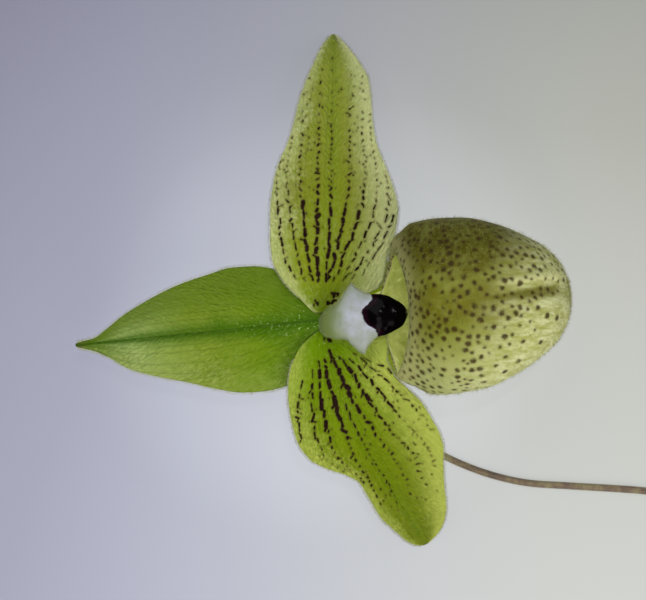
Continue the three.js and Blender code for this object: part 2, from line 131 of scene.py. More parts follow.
def through(points, value=1):
    """A smooth curve through points without overshoot: each span is a cubic, and the slope at a point is the
    harmonic mean of the rises on both sides of it, or 0 where they turn."""
    x = np.array([p[0] for p in points], float)
    y = np.array([p[value] for p in points], float)
    rise = np.diff(y) / np.diff(x)
    slope = np.concatenate([rise[:1], np.zeros(len(x) - 2), rise[-1:]])
    goes_on = rise[:-1] * rise[1:] > 0
    slope[1:-1][goes_on] = (2 * rise[:-1] * rise[1:])[goes_on] / (rise[:-1] + rise[1:])[goes_on]

    def at(place):
        place = np.clip(place, x[0], x[-1])
        i = np.clip(np.searchsorted(x, place, side="right") - 1, 0, len(x) - 2)
        width = x[i + 1] - x[i]
        t = (place - x[i]) / width
        u = 1 - t
        start, end = y[i] + width * slope[i] / 3, y[i + 1] - width * slope[i + 1] / 3
        return u**3 * y[i] + 3 * u * u * t * start + 3 * u * t * t * end + t**3 * y[i + 1]

    return at


def along_path(points, count):
    """Places at even distances along a centripetal Catmull-Rom curve, and its direction there."""
    p = np.array(points, float)
    p = np.vstack([2 * p[0] - p[1], p, 2 * p[-1] - p[-2]])
    knots = np.concatenate([[0], np.cumsum(np.linalg.norm(np.diff(p, axis=0), axis=1) ** 0.5)])
    t = np.linspace(knots[1], knots[-2], 1500)
    i = np.clip(np.searchsorted(knots, t, side="right") - 1, 1, len(p) - 3)

    def between(a, b, first, last):
        share = ((t - knots[first]) / (knots[last] - knots[first]))[:, None]
        return a * (1 - share) + b * share

    near = [between(p[i + k], p[i + k + 1], i + k, i + k + 1) for k in (-1, 0, 1)]
    wide = [between(near[k], near[k + 1], i + k - 1, i + k + 1) for k in (0, 1)]
    curve = between(wide[0], wide[1], i, i + 1)
    gone = np.concatenate([[0], np.cumsum(np.linalg.norm(np.diff(curve, axis=0), axis=1))])
    even = np.linspace(0, gone[-1], count)
    place = np.stack([np.interp(even, gone, curve[:, k]) for k in range(3)], axis=1)
    return place, unit(np.gradient(place, axis=0))


def tube(place, way, hint, radius, sectors):
    """Rings carried along a path. A ring's side is hint x way and its up is way x side. Its point at an angle
    is side*cos + up*sin, radius(share, angle) away from the path. Both ends close to a point."""
    share = np.linspace(0, 1, len(place))[:, None]
    angle = (np.arange(sectors) / sectors * 2 * math.pi)[None, :]
    side = unit(np.cross(np.asarray(hint, float), way))
    up = np.cross(way, side)
    out = radius(share, angle) * np.ones_like(share * angle)
    turn = side[:, None] * np.cos(angle)[..., None] + up[:, None] * np.sin(angle)[..., None]
    return place[:, None] + out[..., None] * turn


def grid_faces(rows, columns, first=0, closed=True):
    """Quads between neighbouring rows of a grid of points. A closed grid's rows run round."""
    i, j = np.meshgrid(np.arange(rows - 1), np.arange(columns if closed else columns - 1), indexing="ij")
    k = (j + 1) % columns
    quads = np.stack([i * columns + j, i * columns + k, (i + 1) * columns + k, (i + 1) * columns + j], axis=-1)
    return quads.reshape(-1, 4) + first


def capped(grid):
    """A closed grid as points and faces, with its first and last rows filled by a fan round their middles."""
    rows, columns = grid.shape[:2]
    j = np.arange(columns)
    k = (j + 1) % columns
    first, last = rows * columns, rows * columns + 1
    end = (rows - 1) * columns
    points = np.vstack([grid.reshape(-1, 3), grid[0].mean(axis=0), grid[-1].mean(axis=0)])
    fans = np.concatenate([
        np.stack([k, j, np.full(columns, first)], axis=1),
        np.stack([end + j, end + k, np.full(columns, last)], axis=1),
    ])
    return points, grid_faces(rows, columns).tolist() + fans.tolist()


def grow(name, points, faces, material, slot, replaced=(), fields=None):
    """Makes a piece from points in millimetres from the hub, and fixes it to the flower."""
    mesh = bpy.data.meshes.new(name)
    mesh.from_pydata(((points + HUB) / 1000).tolist(), [], faces)
    for field, values in (fields or {}).items():
        padded = np.zeros(len(points), np.float32)
        padded[: values.size] = values.ravel()
        mesh.attributes.new(field, "FLOAT", "POINT").data.foreach_set("value", padded)
    mesh.shade_smooth()
    mesh.materials.append(material)
    mesh.update()
    piece = bpy.data.objects.new(name, mesh)
    bpy.context.scene.collection.objects.link(piece)
    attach(piece, "root")
    if replaced:
        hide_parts(*replaced)
    return piece


def down(name, rng, roots, ways, length, width, material, slot):
    """Fine hairs as three-sided spikes. Each is sunk a little into its root, and leans at random by up to half."""
    count = len(roots)
    ways = unit(ways + rng.normal(0, 0.35, (count, 3)))
    across = unit(np.cross(ways, rng.normal(0, 1, (count, 3))))
    other = np.cross(ways, across)
    reach = (length * rng.uniform(0.55, 1.2, count))[:, None]
    foot = roots - 0.1 * ways
    corners = [foot + width / 2 * (across * math.cos(a) + other * math.sin(a)) for a in (0, 2.09, 4.19)]
    points = np.stack(corners + [roots + reach * ways], axis=1).reshape(-1, 3)
    first = np.arange(count)[:, None] * 4
    faces = np.concatenate([first + np.array(face) for face in ((0, 1, 3), (1, 2, 3), (2, 0, 3), (0, 2, 1))])
    return grow(name, points, faces.tolist(), material, slot)


def outward(grid):
    """Unit normals of a closed grid of points: the step across times the step along."""
    across = np.roll(grid, -1, axis=1) - np.roll(grid, 1, axis=1)
    return unit(np.cross(across, np.gradient(grid, axis=0)))


stem_place, stem_way = along_path([(x, y, 0) for x, y in STEM_PATH], 260)
stem_share = np.linspace(0, 1, len(stem_place))
stem_radius = STEM_RADIUS[0] + (STEM_RADIUS[1] - STEM_RADIUS[0]) * stem_share
from_top = np.linalg.norm(stem_place - stem_place[0], axis=1)
stem_place[:, 2] = SURFACE + stem_radius + 0.9 * np.maximum(0, 1 - from_top / 9) ** 2
end_taper = np.minimum(1, np.minimum(stem_share, 1 - stem_share) * 260 + 0.05)[:, None]
stem_grid = tube(
    stem_place, stem_way, (0, 0, 1),
    lambda share, angle: stem_radius[:, None] * end_taper * (1 + 0.03 * np.sin(5 * angle + 9 * share)), 24,
)

# Soft hairs: thin, pale and dull, so they only catch the light.
down_pale, tree, shader, place = finish("plant down, pale")
put(tree, shader, {"Base Color": linear("#bfc298"), "Roughness": 0.7})

# Stem skin: satin plant tissue, blotched purple-brown over green, with fine lengthwise ribs.
stem_skin, tree, shader, place = finish("stem skin, purple-brown and downy")
blotch = add(tree, "TexNoise", {"Vector": place, "Scale": 1000 / 3.2, "Detail": 4.0, "Roughness": 0.6})
stops = [(0.32, "#4a3a30"), (0.5, "#6c5843"), (0.7, "#8a8559")]
tint = add(tree, "ValToRGB", {"Fac": blotch.outputs["Fac"]}, stops).outputs["Color"]
grain = add(tree, "TexNoise", {"Vector": place, "Scale": 1000 / 0.5, "Detail": 2.0})
bump = add(tree, "Bump", {"Height": grain.outputs["Fac"], "Strength": 0.3, "Distance": 0.0001}).outputs["Normal"]
put(tree, shader, {"Base Color": tint, "Normal": bump, "Roughness": 0.62})
put(tree, shader, {"Sheen Weight": 0.35, "Sheen Roughness": 0.5})

rng = np.random.default_rng(11)
grow("flower_stem", *capped(stem_grid), stem_skin, "scape", ["scape"])
stem_normals = outward(stem_grid)
row, column = rng.integers(3, 255, STEM_DOWN), rng.integers(0, 24, STEM_DOWN)
airy = stem_normals[row, column, 2] > -0.5
row, column = row[airy], column[airy]
down("flower_stem_down", rng, stem_grid[row, column], stem_normals[row, column], 0.45, 0.035, down_pale, "scape")

# ---- ovary ----
# The ovary joins the stem to the flower. It is a ribbed, downy green tube that curves up to the hub.
OVARY_PATH = [
    (18, -24, -16), (11, -17, -15.4), (5.5, -9.5, -12.4), (2.4, -3.9, -8), (1.3, -0.6, -4.6), (1.2, 0, -2.95),
]
OVARY_RADIUS = [(0, 1.1), (0.12, 1.7), (0.5, 2.1), (0.8, 1.9), (0.92, 2), (1, 2.7)]
OVARY_RIBS = 6
OVARY_DOWN = 2600
OVARY_HINT = (0.8159, 0.5782, 0)

ovary_place, ovary_way = along_path(OVARY_PATH, 130)
ovary_radius = through(OVARY_RADIUS)
ovary_grid = tube(
    ovary_place, ovary_way, OVARY_HINT,
    lambda share, angle: ovary_radius(share) * (1 - 0.18 * np.sin(OVARY_RIBS * angle / 2) ** 2) - 0.05, 72,
)

# Ovary skin: dull, ribbed plant tissue, green blotched with a purple-brown cast.
ovary_skin, tree, shader, place = finish("ovary skin, green and downy")
blotch = add(tree, "TexNoise", {"Vector": place, "Scale": 1000 / 2.5, "Detail": 4.0})
stops = [(0.3, "#3d3a22"), (0.5, "#566026"), (0.75, "#76803a")]
tint = add(tree, "ValToRGB", {"Fac": blotch.outputs["Fac"]}, stops).outputs["Color"]
put(tree, shader, {"Base Color": tint, "Roughness": 0.6, "Sheen Weight": 0.3})
grow("ovary_skin", *capped(ovary_grid), ovary_skin, "ovary", ["ovary"])
ovary_normals = outward(ovary_grid)
row, column = rng.integers(4, 118, OVARY_DOWN), rng.integers(0, 72, OVARY_DOWN)
down("ovary_down", rng, ovary_grid[row, column], ovary_normals[row, column], 0.5, 0.04, down_pale, "ovary")

# ---- bract ----
# The bract is a small pointed leaf. It clasps the foot of the ovary, where the flower bud grew from.
BRACT_LENGTH = 14
BRACT_INNER = 2.35
BRACT_WRAP = [(0, 100), (0.4, 105), (0.75, 70), (1, 8)]
BRACT_CLASP = [(0, 0.62), (0.08, 0.78), (0.2, 0.95), (0.3, 1), (1, 1)]  # it is tightest at its base


def leaf_section(middle, normal, half_thickness):
    """Closed sections of a thin leaf: over its upper face from left to right and back under its lower face.
    Both faces lie half_thickness from the middle surface, and meet at the edges."""
    upper = middle + normal * half_thickness[..., None]
    lower = middle - normal * half_thickness[..., None]
    return np.concatenate([upper, lower[:, -2:0:-1]], axis=1)


def leaf_field(values):
    """A value of a leaf's middle surface, laid out as its closed sections are."""
    return np.concatenate([values, values[:, -2:0:-1]], axis=1)


def surface_normals(middle):
    """Unit normals of an open grid of points: the step across times the step along."""
    return unit(np.cross(np.gradient(middle, axis=1), np.gradient(middle, axis=0)))


bract_start = int(0.03 * 129)
bract_rows = int(round(BRACT_LENGTH / np.linalg.norm(np.diff(ovary_place, axis=0), axis=1).sum() * 129))
bract_part = slice(bract_start, bract_start + bract_rows)
bract_place, bract_way = ovary_place[bract_part], ovary_way[bract_part]
bract_share = np.linspace(0, 1, bract_rows)[:, None]
bract_angle = np.radians(through(BRACT_WRAP)(bract_share)) * np.linspace(1, -1, 41)[None, :]
bract_side = unit(np.cross((0, 0, 1.0), bract_way))
bract_over = np.cross(bract_way, bract_side)
bract_out = through(BRACT_CLASP)(bract_share) * (BRACT_INNER + 0.3) + 0.12 * np.sin(9 * bract_angle) * bract_share
bract_middle = bract_place[:, None] + bract_out[..., None] * (
    bract_side[:, None] * np.sin(bract_angle)[..., None] + bract_over[:, None] * np.cos(bract_angle)[..., None]
)
bract_edge = np.abs(np.linspace(1, -1, 41))[None, :]
bract_half = 0.28 * np.sqrt(np.maximum(0, 1 - bract_edge**6)) * (1 - 0.5 * bract_share) + 0.01

# Bract skin: thin leaf tissue, satin green with purple-brown veins and flecks.
bract_skin, tree, shader, place = finish("bract leaf, green flecked with brown")
blotch = add(tree, "TexNoise", {"Vector": place, "Scale": 1000 / 1.6, "Detail": 5.0})
stops = [(0.33, "#4a3a28"), (0.47, "#5e6a2c"), (0.75, "#869045")]
tint = add(tree, "ValToRGB", {"Fac": blotch.outputs["Fac"]}, stops).outputs["Color"]
put(tree, shader, {"Base Color": tint, "Roughness": 0.5})
grow(
    "bract_leaf", *capped(leaf_section(bract_middle, surface_normals(bract_middle), bract_half)),
    bract_skin, "bract", ["bract"],
)

# ---- sepals ----
# The dorsal sepal stands behind the flower, and the synsepal, two sepals grown into one, lies behind
# the pouch. Both are thin, waxy and green, with a sunken midrib and a net of darker veins.
DORSAL_SEPAL = {
    "heading": math.radians(185.5),
    "edges": [
        (0.1, 1.9, -1.9), (0.9, 3, -2.8), (3, 7.4, -7), (5.5, 10.8, -9.4), (8.5, 12.6, -11.1), (13, 13.2, -12.1),
        (17, 13, -12.2), (22, 11.8, -11.2), (28, 9.8, -9.7), (34, 8, -7.4), (39.5, 5.9, -4.7), (43, 3.5, -2.4),
        (46, 1.9, -0.7), (48.5, 1.1, -0.3), (49.9, 0.6, 0),
    ],
    "rib": [(0.1, 0), (49.9, 0.3)],
    "lift": [(0.1, -1.58), (6, -1.7), (12, -1), (20, 0.7), (30, 1.8), (40, 0.6), (49.9, -2.6)],
    "groove": (0.8, 0.8),
    "arch": 0.008,
    "wave": (0.35, 19, 0.4),
}
SYNSEPAL = {
    "heading": math.radians(7),
    "edges": [
        (3.4, 2.6, -2.6), (5.5, 6.8, -7.2), (8.5, 9.6, -11.2), (12, 10.2, -12.7), (17, 9.7, -12.6),
        (24, 8.8, -11), (31, 6.4, -7.8), (37, 3, -3.8), (41, 0.4, -0.4),
    ],
    "rib": [(3.4, 0), (41, 0)],
    "lift": [(3.4, -1.75), (8, -2.3), (15, -2.9), (22, -3.3), (30, -4.3), (41, -9)],
    "groove": (0.4, 1.6),
    "arch": 0.006,
    "wave": (0.3, 15, 0),
}
BLADE_HALF = 0.33  # half the thickness of a sepal or petal
VEIN_DEPTH = 0.05
FRINGE_HAIR = (0.65, 0.08)  # length and width of a hair at a blade's edge
DORSAL_VEINS = (0.1, 0.22, 0.35, 0.5, 0.66, 0.83)  # on each side of the midrib, as shares of the way to the edge
SYNSEPAL_VEINS = (0.15, 0.35, 0.57, 0.8)


def flat_blade(shape, rows, columns):
    """Where the points of a blade lie: their distance along it, their share of the way to the edge (1 left,
    -1 right), their distance out from the rib, and how far the edge is from the rib there."""
    edges, rib = shape["edges"], through(shape["rib"])
    step = np.linspace(0, 1, rows)[:, None]
    eased = 0.4 * (1 - np.cos(math.pi * step)) / 2 + 0.6 * step
    along = edges[0][0] + (edges[-1][0] - edges[0][0]) * eased
    even = np.linspace(1, -1, columns)[None, :]
    side = 0.8 * even + 0.2 * np.sin(even * math.pi / 2)
    reach = np.where(side > 0, through(edges)(along) - rib(along), rib(along) - through(edges, 2)(along))
    return along + 0 * side, side + 0 * along, side * reach, reach


def blade_surface(shape, along, side, out, reach):
    """The middle surface of a blade. Its height is the lift along its rib, less a groove over the rib,
    depth * exp(-(out/width)^2), less a crosswise arch * out^2, plus a wave that grows with side^2. A curl
    lifts the left margin near the base, by curl * smooth(out) where the blade is 3 to 17 mm along."""
    depth, width = shape["groove"]
    height, length, phase = shape["wave"]
    start, end = shape["edges"][0][0], shape["edges"][-1][0]
    dip = depth * np.exp(-((out / width) ** 2)) * np.minimum(1, reach / width)
    ripple = height * side**2 * np.sin(2 * math.pi * along / length + phase + side)
    fade = np.sin(math.pi * (along - start) / (end - start))
    lift = through(shape["lift"])(along) - fade * (dip + shape["arch"] * out**2 - ripple)
    near_base = smooth(along, 3, 7) * (1 - smooth(along, 11.5, 17))
    lift = lift + shape.get("curl", 0) * smooth(out, 4.5, 11) * near_base
    across = through(shape["rib"])(along) + out
    return turned(shape["heading"], along, across, lift)


def from_strokes(along, out, strokes):
    """Distance in millimetres to the nearest stroke. A stroke is a line with round ends between two points of
    the flat blade, as thick as twice its radius, and inside it the distance is negative."""
    place = np.stack([along.ravel(), out.ravel()], axis=1).astype(np.float32)
    marks = np.array(strokes, np.float32)
    nearest = np.full(len(place), 9.0, np.float32)
    for part in np.array_split(np.arange(len(marks)), max(1, len(marks) // 30)):
        start, run, radius = marks[part, 0:2], marks[part, 2:4] - marks[part, 0:2], marks[part, 4]
        rest = place[:, None] - start
        share = np.clip((rest * run).sum(axis=2) / ((run**2).sum(axis=1) + 1e-6), 0, 1)
        gap = np.linalg.norm(rest - share[..., None] * run, axis=2) - radius
        nearest = np.minimum(nearest, gap.min(axis=1))
    return nearest.reshape(along.shape)


def reach_at(shape, along, share):
    """How far out from the rib a share of the way to the edge is."""
    rib = through(shape["rib"])(along)
    to_edge = through(shape["edges"])(along) - rib if share > 0 else rib - through(shape["edges"], 2)(along)
    return float(share * to_edge)


def vein_net(shape, rng, veins, branches):
    """Strokes of a net of veins. The main veins part from the rib near the base and run out to their shares of
    the way to the edge. Thinner branches leave them at a slant, outwards and towards the tip."""
    start, end = shape["edges"][0][0], shape["edges"][-1][0]
    strokes = []

    def share_at(vein, along):
        gone = (along - start) / (end - start)
        return vein * (0.3 + 1.5 * gone)

    signed = [side * vein for vein in veins for side in (1, -1)]
    for vein in [0.001] + signed:
        last = start + (end - start) * min(0.97, (0.97 / abs(vein) - 0.3) / 1.5)
        stops = np.arange(start, last, 1.1)
        wander = np.cumsum(rng.normal(0, 0.006, len(stops))) * (abs(vein) > 0.01)
        line = [(s, reach_at(shape, s, share_at(vein, s) + w)) for s, w in zip(stops, wander)]
        strokes += [(*a, *b, 0.0) for a, b in zip(line, line[1:])]
    for _ in range(branches):
        vein = signed[rng.integers(len(signed))]
        s, way = rng.uniform(start + 3, end - 5), np.sign(vein)
        share = share_at(vein, s)
        for _ in range(3):
            ahead, onward = s + rng.uniform(0.5, 1.3), share + way * rng.uniform(0.03, 0.1)
            if abs(onward) > 0.98 or ahead > end - 1:
                break
            strokes.append((s, reach_at(shape, s, share), ahead, reach_at(shape, ahead, onward), -0.08))
            s, share = ahead, onward
    return strokes


def blade(name, shape, rows, columns, strokes, marks, material, slot, node, hair):
    """A sepal or petal: a waxy blade with sunken veins, coloured marks and a fringe of short hairs."""
    along, side, out, reach = flat_blade(shape, rows, columns)
    middle = blade_surface(shape, along, side, out, reach)
    normal = surface_normals(middle)
    vein = from_strokes(along, out, strokes)
    mark = from_strokes(along, out, marks) if marks else np.full(along.shape, 2.0)
    to_tip = (along - along.min()) / np.ptp(along)
    half = BLADE_HALF * np.sqrt(np.maximum(0, 1 - np.abs(side) ** 5)) * (0.75 + 0.25 * smooth(reach, 0, 5))
    half = half * np.sqrt(np.clip(np.minimum(to_tip, 1 - to_tip) * 60, 0.02, 1)) + 0.008
    relief = VEIN_DEPTH * np.exp(-((vein / 0.22) ** 2)) * (1 - side**2)
    middle = middle - normal * relief[..., None]
    section = leaf_section(middle, normal, half)
    under = np.concatenate([np.zeros_like(side), np.ones_like(side[:, -2:0:-1])], axis=1)
    fields = {
        "to_tip": leaf_field(to_tip), "side": leaf_field(side), "vein": leaf_field(vein),
        "mark": leaf_field(mark), "under": under, "out": leaf_field(out), "along": leaf_field(along),
    }
    grow(name, *capped(section), material, slot, [node], fields)
    row = rng.integers(int(rows * 0.08), rows - 2, hair)
    left = rng.random(hair) < 0.5
    column = np.where(left, 0, columns - 1)
    outwards = np.where(left[:, None], middle[row, 0] - middle[row, 1], middle[row, -1] - middle[row, -2])
    down(name + "_fringe", rng, middle[row, column], unit(outwards), *FRINGE_HAIR, down_pale, slot)
    return middle, normal


def waxy_green(name, lengthwise, rim, rib, vein_tint, bloom, gloss, crease_shade, painted_light, painted_glow):
    """The finish of a sepal or petal: a lengthwise ramp of green, greener along the rib, paler at the rim and
    dark in its veins. bloom is the share of dull wax at the rim, gloss the roughness at the rib, crease_shade
    how dark the crease over the rib is painted, as painted shade, painted_light the share of pale spots near the
    base that are painted highlights of wet shine, and painted_glow the strength of a painted glow that the skin
    gives off, standing in for light through it."""
    material, tree, shader, place = finish(name)
    names = ("side", "to_tip", "vein", "out", "along")
    side, to_tip, vein, out, along = (add(tree, "Attribute", attribute_name=n).outputs["Fac"] for n in names)
    outer = add(tree, "Math", {0: side}, operation="ABSOLUTE").outputs[0]
    cloud, patch, fleck, grain = (
        add(
            tree, "TexNoise", {"Vector": place, "Scale": 1000 / size, "Detail": detail, "Roughness": rough},
        ).outputs["Fac"]
        for size, detail, rough in ((7, 4, 0.6), (11, 3, 0.6), (1, 5, 0.8), (0.5, 2, 0.5))
    )
    wander = add(tree, "Math", {0: cloud, 1: 0.22, 2: -0.11}, operation="MULTIPLY_ADD").outputs[0]
    length_place = add(tree, "Math", {0: to_tip, 1: wander}, operation="ADD").outputs[0]
    outer_place = add(tree, "Math", {0: outer, 1: wander}, operation="ADD").outputs[0]
    ground = add(tree, "ValToRGB", {"Fac": length_place}, lengthwise).outputs["Color"]
    ground = laid_over(tree, ground, outer_place, (0.02, 0.3), (0.3 + 0.75 * crease_shade, 0), rib)
    # A dark line over the crease of the rib: painted shade.
    off_rib = add(tree, "Math", {0: out}, operation="ABSOLUTE").outputs[0]
    ground = laid_over(tree, ground, off_rib, (0.05, 0.4), (crease_shade, 0), vein_tint)
    ground = laid_over(tree, ground, outer_place, (0.5, 1), (0, bloom), rim)
    # Pale flecks of the rim's colour in patches away from the rib: partly a dusting of dull wax bloom and partly
    # painted sheen.
    patchy = add(tree, "MapRange", {0: patch, 1: 0.4, 2: 0.62, 3: 0.25, 4: 1.0}).outputs[0]
    flecked = add(tree, "MapRange", {0: fleck, 1: 0.44, 2: 0.62, 3: 0.0, 4: 0.85}).outputs[0]
    far_out = {0: outer_place, 1: 0.25, 2: 0.8, 3: 0.15, 4: 1.0}
    far_out = add(tree, "MapRange", far_out, interpolation_type="SMOOTHSTEP").outputs[0]
    flecked = add(tree, "Math", {0: flecked, 1: patchy}, operation="MULTIPLY").outputs[0]
    flecked = add(tree, "Math", {0: flecked, 1: far_out}, operation="MULTIPLY").outputs[0]
    ground = add(tree, "Mix", {0: flecked, 6: ground, 7: linear(rim)}, data_type="RGBA").outputs[2]
    shade = add(tree, "MapRange", {0: fleck, 1: 0.3, 2: 0.5, 3: 0.3, 4: 0.0}).outputs[0]
    ground = add(tree, "Mix", {0: shade, 6: ground, 7: linear(rib)}, data_type="RGBA").outputs[2]
    # The net of small veins: cells of about 2 by 0.8 mm, drawn out slantwise towards the tip and the edge.
    slant = add(tree, "Math", {0: along, 1: -0.45, 2: off_rib}, operation="MULTIPLY_ADD").outputs[0]
    onward = add(tree, "Math", {0: off_rib, 1: 0.45, 2: along}, operation="MULTIPLY_ADD").outputs[0]
    onward = add(tree, "Math", {0: onward, 1: 0.4}, operation="MULTIPLY").outputs[0]
    net_place = add(tree, "CombineXYZ", {0: onward, 1: slant, 2: side}).outputs[0]
    bend = add(tree, "TexNoise", {"Vector": place, "Scale": 1000 / 3.0, "Detail": 3.0}).outputs["Color"]
    net_place = {0: bend, 1: (0.9, 0.9, 0), 2: net_place}
    net_place = add(tree, "VectorMath", net_place, operation="MULTIPLY_ADD").outputs[0]
    net = add(tree, "TexVoronoi", {"Vector": net_place, "Scale": 1 / 0.85}, feature="DISTANCE_TO_EDGE")
    net = net.outputs["Distance"]
    netted = {0: net, 1: 0.0, 2: 0.14, 3: 0.32, 4: 0.0}
    netted = add(tree, "MapRange", netted, interpolation_type="SMOOTHSTEP").outputs[0]
    netted = add(tree, "Math", {0: netted, 1: patchy}, operation="MULTIPLY").outputs[0]
    ground = add(tree, "Mix", {0: netted, 6: ground, 7: linear(vein_tint)}, data_type="RGBA").outputs[2]
    ground = laid_over(tree, ground, vein, (0.02, 0.24), (0.28, 0), vein_tint)
    # Painted highlights beside the rib near the base: small pale spots painted in as the shine of wet cells.
    near_rib = {0: off_rib, 1: 1.0, 2: 5.0, 3: 1.0, 4: 0.0}
    near_rib = add(tree, "MapRange", near_rib, interpolation_type="SMOOTHSTEP").outputs[0]
    near_hub = {0: to_tip, 1: 0.05, 2: 0.55, 3: 1.0, 4: 0.0}
    near_hub = add(tree, "MapRange", near_hub, interpolation_type="SMOOTHSTEP").outputs[0]
    glint_zone = add(tree, "Math", {0: near_rib, 1: near_hub}, operation="MULTIPLY").outputs[0]
    spot = {0: grain, 1: 0.61, 2: 0.72, 3: 0.0, 4: painted_light}
    spot = add(tree, "MapRange", spot, interpolation_type="SMOOTHSTEP").outputs[0]
    spot = add(tree, "Math", {0: spot, 1: glint_zone}, operation="MULTIPLY").outputs[0]
    ground = add(tree, "Mix", {0: spot, 6: ground, 7: linear("#c6d890")}, data_type="RGBA").outputs[2]
    cushion = add(tree, "MapRange", {0: net, 1: 0.0, 2: 0.35}, interpolation_type="SMOOTHSTEP").outputs[0]
    relief = add(tree, "Math", {0: fleck, 1: 1.2, 2: cushion}, operation="MULTIPLY_ADD").outputs[0]
    bump = add(tree, "Bump", {"Height": relief, "Strength": 0.8, "Distance": 0.00025})
    dull = add(tree, "MapRange", {0: outer_place, 1: 0.1, 2: 0.8, 3: gloss - 0.1, 4: gloss + 0.15})
    # The skin gives off its own colour as emission: a painted glow that stands in for light through the tissue.
    put(tree, shader, {
        "Base Color": ground, "Emission Color": ground, "Emission Strength": painted_glow,
        "Normal": bump.outputs["Normal"], "Roughness": dull.outputs[0], "Specular IOR Level": 0.05,
        "Subsurface Weight": 0.12, "Subsurface Scale": 0.0006, "Subsurface Radius": (0.5, 1.0, 0.2),
    })
    return material


# Sepal skin: waxy leaf tissue, deeper green at the base and along the rib, greyer with bloom at the rim. Pale spots
# near the base are painted highlights of wet shine, and the dark line over the rib's crease is painted shade.
dorsal_skin = waxy_green(
    "sepal skin, waxy green",
    [(0.0, "#447006"), (0.25, "#6c8a0c"), (0.5, "#7f942a"), (0.78, "#9bb064"), (0.93, "#5f7b1c"), (1.0, "#43301f")],
    "#9ca85a", "#3a6602", "#34520a", 0.22, 0.36, 0.7, 0.5, 0.0,
)
# The dorsal sepal's right half, beside the right petal, is painted a deeper olive green: painted shade on the half
# that tilts away from the light.
tree, shader, ground = so_far(dorsal_skin)
side = add(tree, "Attribute", attribute_name="side").outputs["Fac"]
put(tree, shader, {"Base Color": laid_over(tree, ground, side, (0, -0.8), (0, 0.75), "#567010")})
# Synsepal skin: bright green, partly its own colour and partly painted light against the shade it lies in under the
# pouch, and a painted glow given off as emission.
synsepal_skin = waxy_green(
    "synsepal skin, bright green", [(0.0, "#8ca602"), (0.4, "#9aae10"), (1.0, "#8a9e1c")],
    "#a8ba30", "#8ea80c", "#76900a", 0.5, 0.4, 0.2, 0.0, 0.3,
)
blade(
    "dorsal_sepal_blade", DORSAL_SEPAL, 200, 110, vein_net(DORSAL_SEPAL, rng, DORSAL_VEINS, 130), None,
    dorsal_skin, "sepal", "dorsal_sepal", 2200,
)
blade(
    "synsepal_blade", SYNSEPAL, 110, 80, vein_net(SYNSEPAL, rng, SYNSEPAL_VEINS, 60), None,
    synsepal_skin, "sepal", "synsepal", 400,
)

# ---- petals ----
# The two petals spread to the sides and droop to their tips. They are waxy, with rows of purple-brown
# marks along their veins: merged blotches near the hub, then dashes, then single dots.
PETAL_RIGHT = {
    "heading": math.radians(90),
    "edges": [
        (1.5, 1.6, -1.4), (1.9, 2.1, -2.1), (4, 4.2, -5.4), (5.2, 5.4, -8.6), (6.4, 6.5, -11), (8, 7.8, -12.2),
        (12, 9.9, -12.9), (16, 10.3, -14.3), (22, 10.3, -15.1), (28, 9.6, -13.7), (32, 8.4, -12.2),
        (36, 6.7, -10.8), (40.5, 5.5, -10.1),
        (44.6, 4.6, -9.9), (49, 3.2, -9.5), (53.6, 1.4, -7.4), (57, -0.1, -5.1), (59.8, -2, -2.8),
    ],
    "rib": [(1.5, -0.1), (14, -1.2), (34, -2), (59.8, -2.4)],
    "lift": [
        (1.5, -0.7), (4.5, 0.5), (10, 1.7), (20, 2.2), (28, 1.5), (36, -0.8), (44, -4.8), (52, -10.6), (59.8, -17.7),
    ],
    "groove": (0.5, 1.4),
    "arch": 0.007,
    "wave": (0.5, 21, 2.1),
}
PETAL_LEFT = {
    "heading": math.radians(-64),
    "edges": [
        (1.8, 0, -2.5), (3, 0.9, -6.3), (5, 2.3, -9), (7.3, 3.6, -10.9), (9, 5.8, -11.9), (11, 7, -12.9),
        (15.2, 8, -14.3), (20.4, 9.6, -15.1), (24, 10.8, -14.4), (27, 11.1, -12.5), (30.5, 11.3, -9.2),
        (33.2, 11, -7.6),
        (37, 9.4, -7.3), (41.4, 7.7, -7), (46.3, 6, -5.5), (49.4, 4, -4.3), (51, 2, -3.2), (52.1, -0.5, -1.7),
    ],
    "rib": [(1.8, -1), (13.5, -2.6), (24, -3.4), (37, -2.5), (52.1, -1.1)],
    "lift": [
        (1.8, -0.6), (3.8, 0.5), (8, 1.4), (14, 1.5), (20, 1.1), (28, -1.1), (36, -5), (44, -10.6), (52.1, -17.7),
    ],
    "groove": (0.6, 1.8),
    "arch": 0.006,
    "wave": (0.6, 17, 0.9),
}
# Each row of marks: [distance along, share of the way to the edge], and how wide its widest marks are.
RIGHT_ROWS = [
    ([(7.4, 0.0), (23, 0.0), (37, 0.02), (54, 0.05)], 0.85),
    ([(7.4, 0.17), (9.5, 0.19), (23, 0.22), (37, 0.32), (53, 0.5)], 1.1),
    ([(7.6, 0.31), (9.5, 0.33), (23, 0.465), (37, 0.71), (47, 0.93)], 0.9),
    ([(7.8, 0.48), (9.5, 0.5), (23, 0.69), (37, 0.94)], 0.5),
    ([(8.2, 0.7), (9.5, 0.73), (23, 0.88), (32, 0.97)], 0.5),
    ([(7.4, 0.0), (9.5, -0.07), (23, -0.235), (37, -0.4), (53, -0.55)], 0.8),
    ([(7.4, -0.15), (9.5, -0.19), (23, -0.475), (37, -0.71), (50, -0.86)], 0.7),
    ([(7.6, -0.29), (9.5, -0.35), (23, -0.67), (37, -0.9), (44, -0.96)], 0.5),
    ([(8, -0.43), (9.5, -0.5), (23, -0.87), (30, -0.95)], 0.45),
    ([(8.4, -0.56), (9.5, -0.64), (20, -0.94)], 0.4),
]
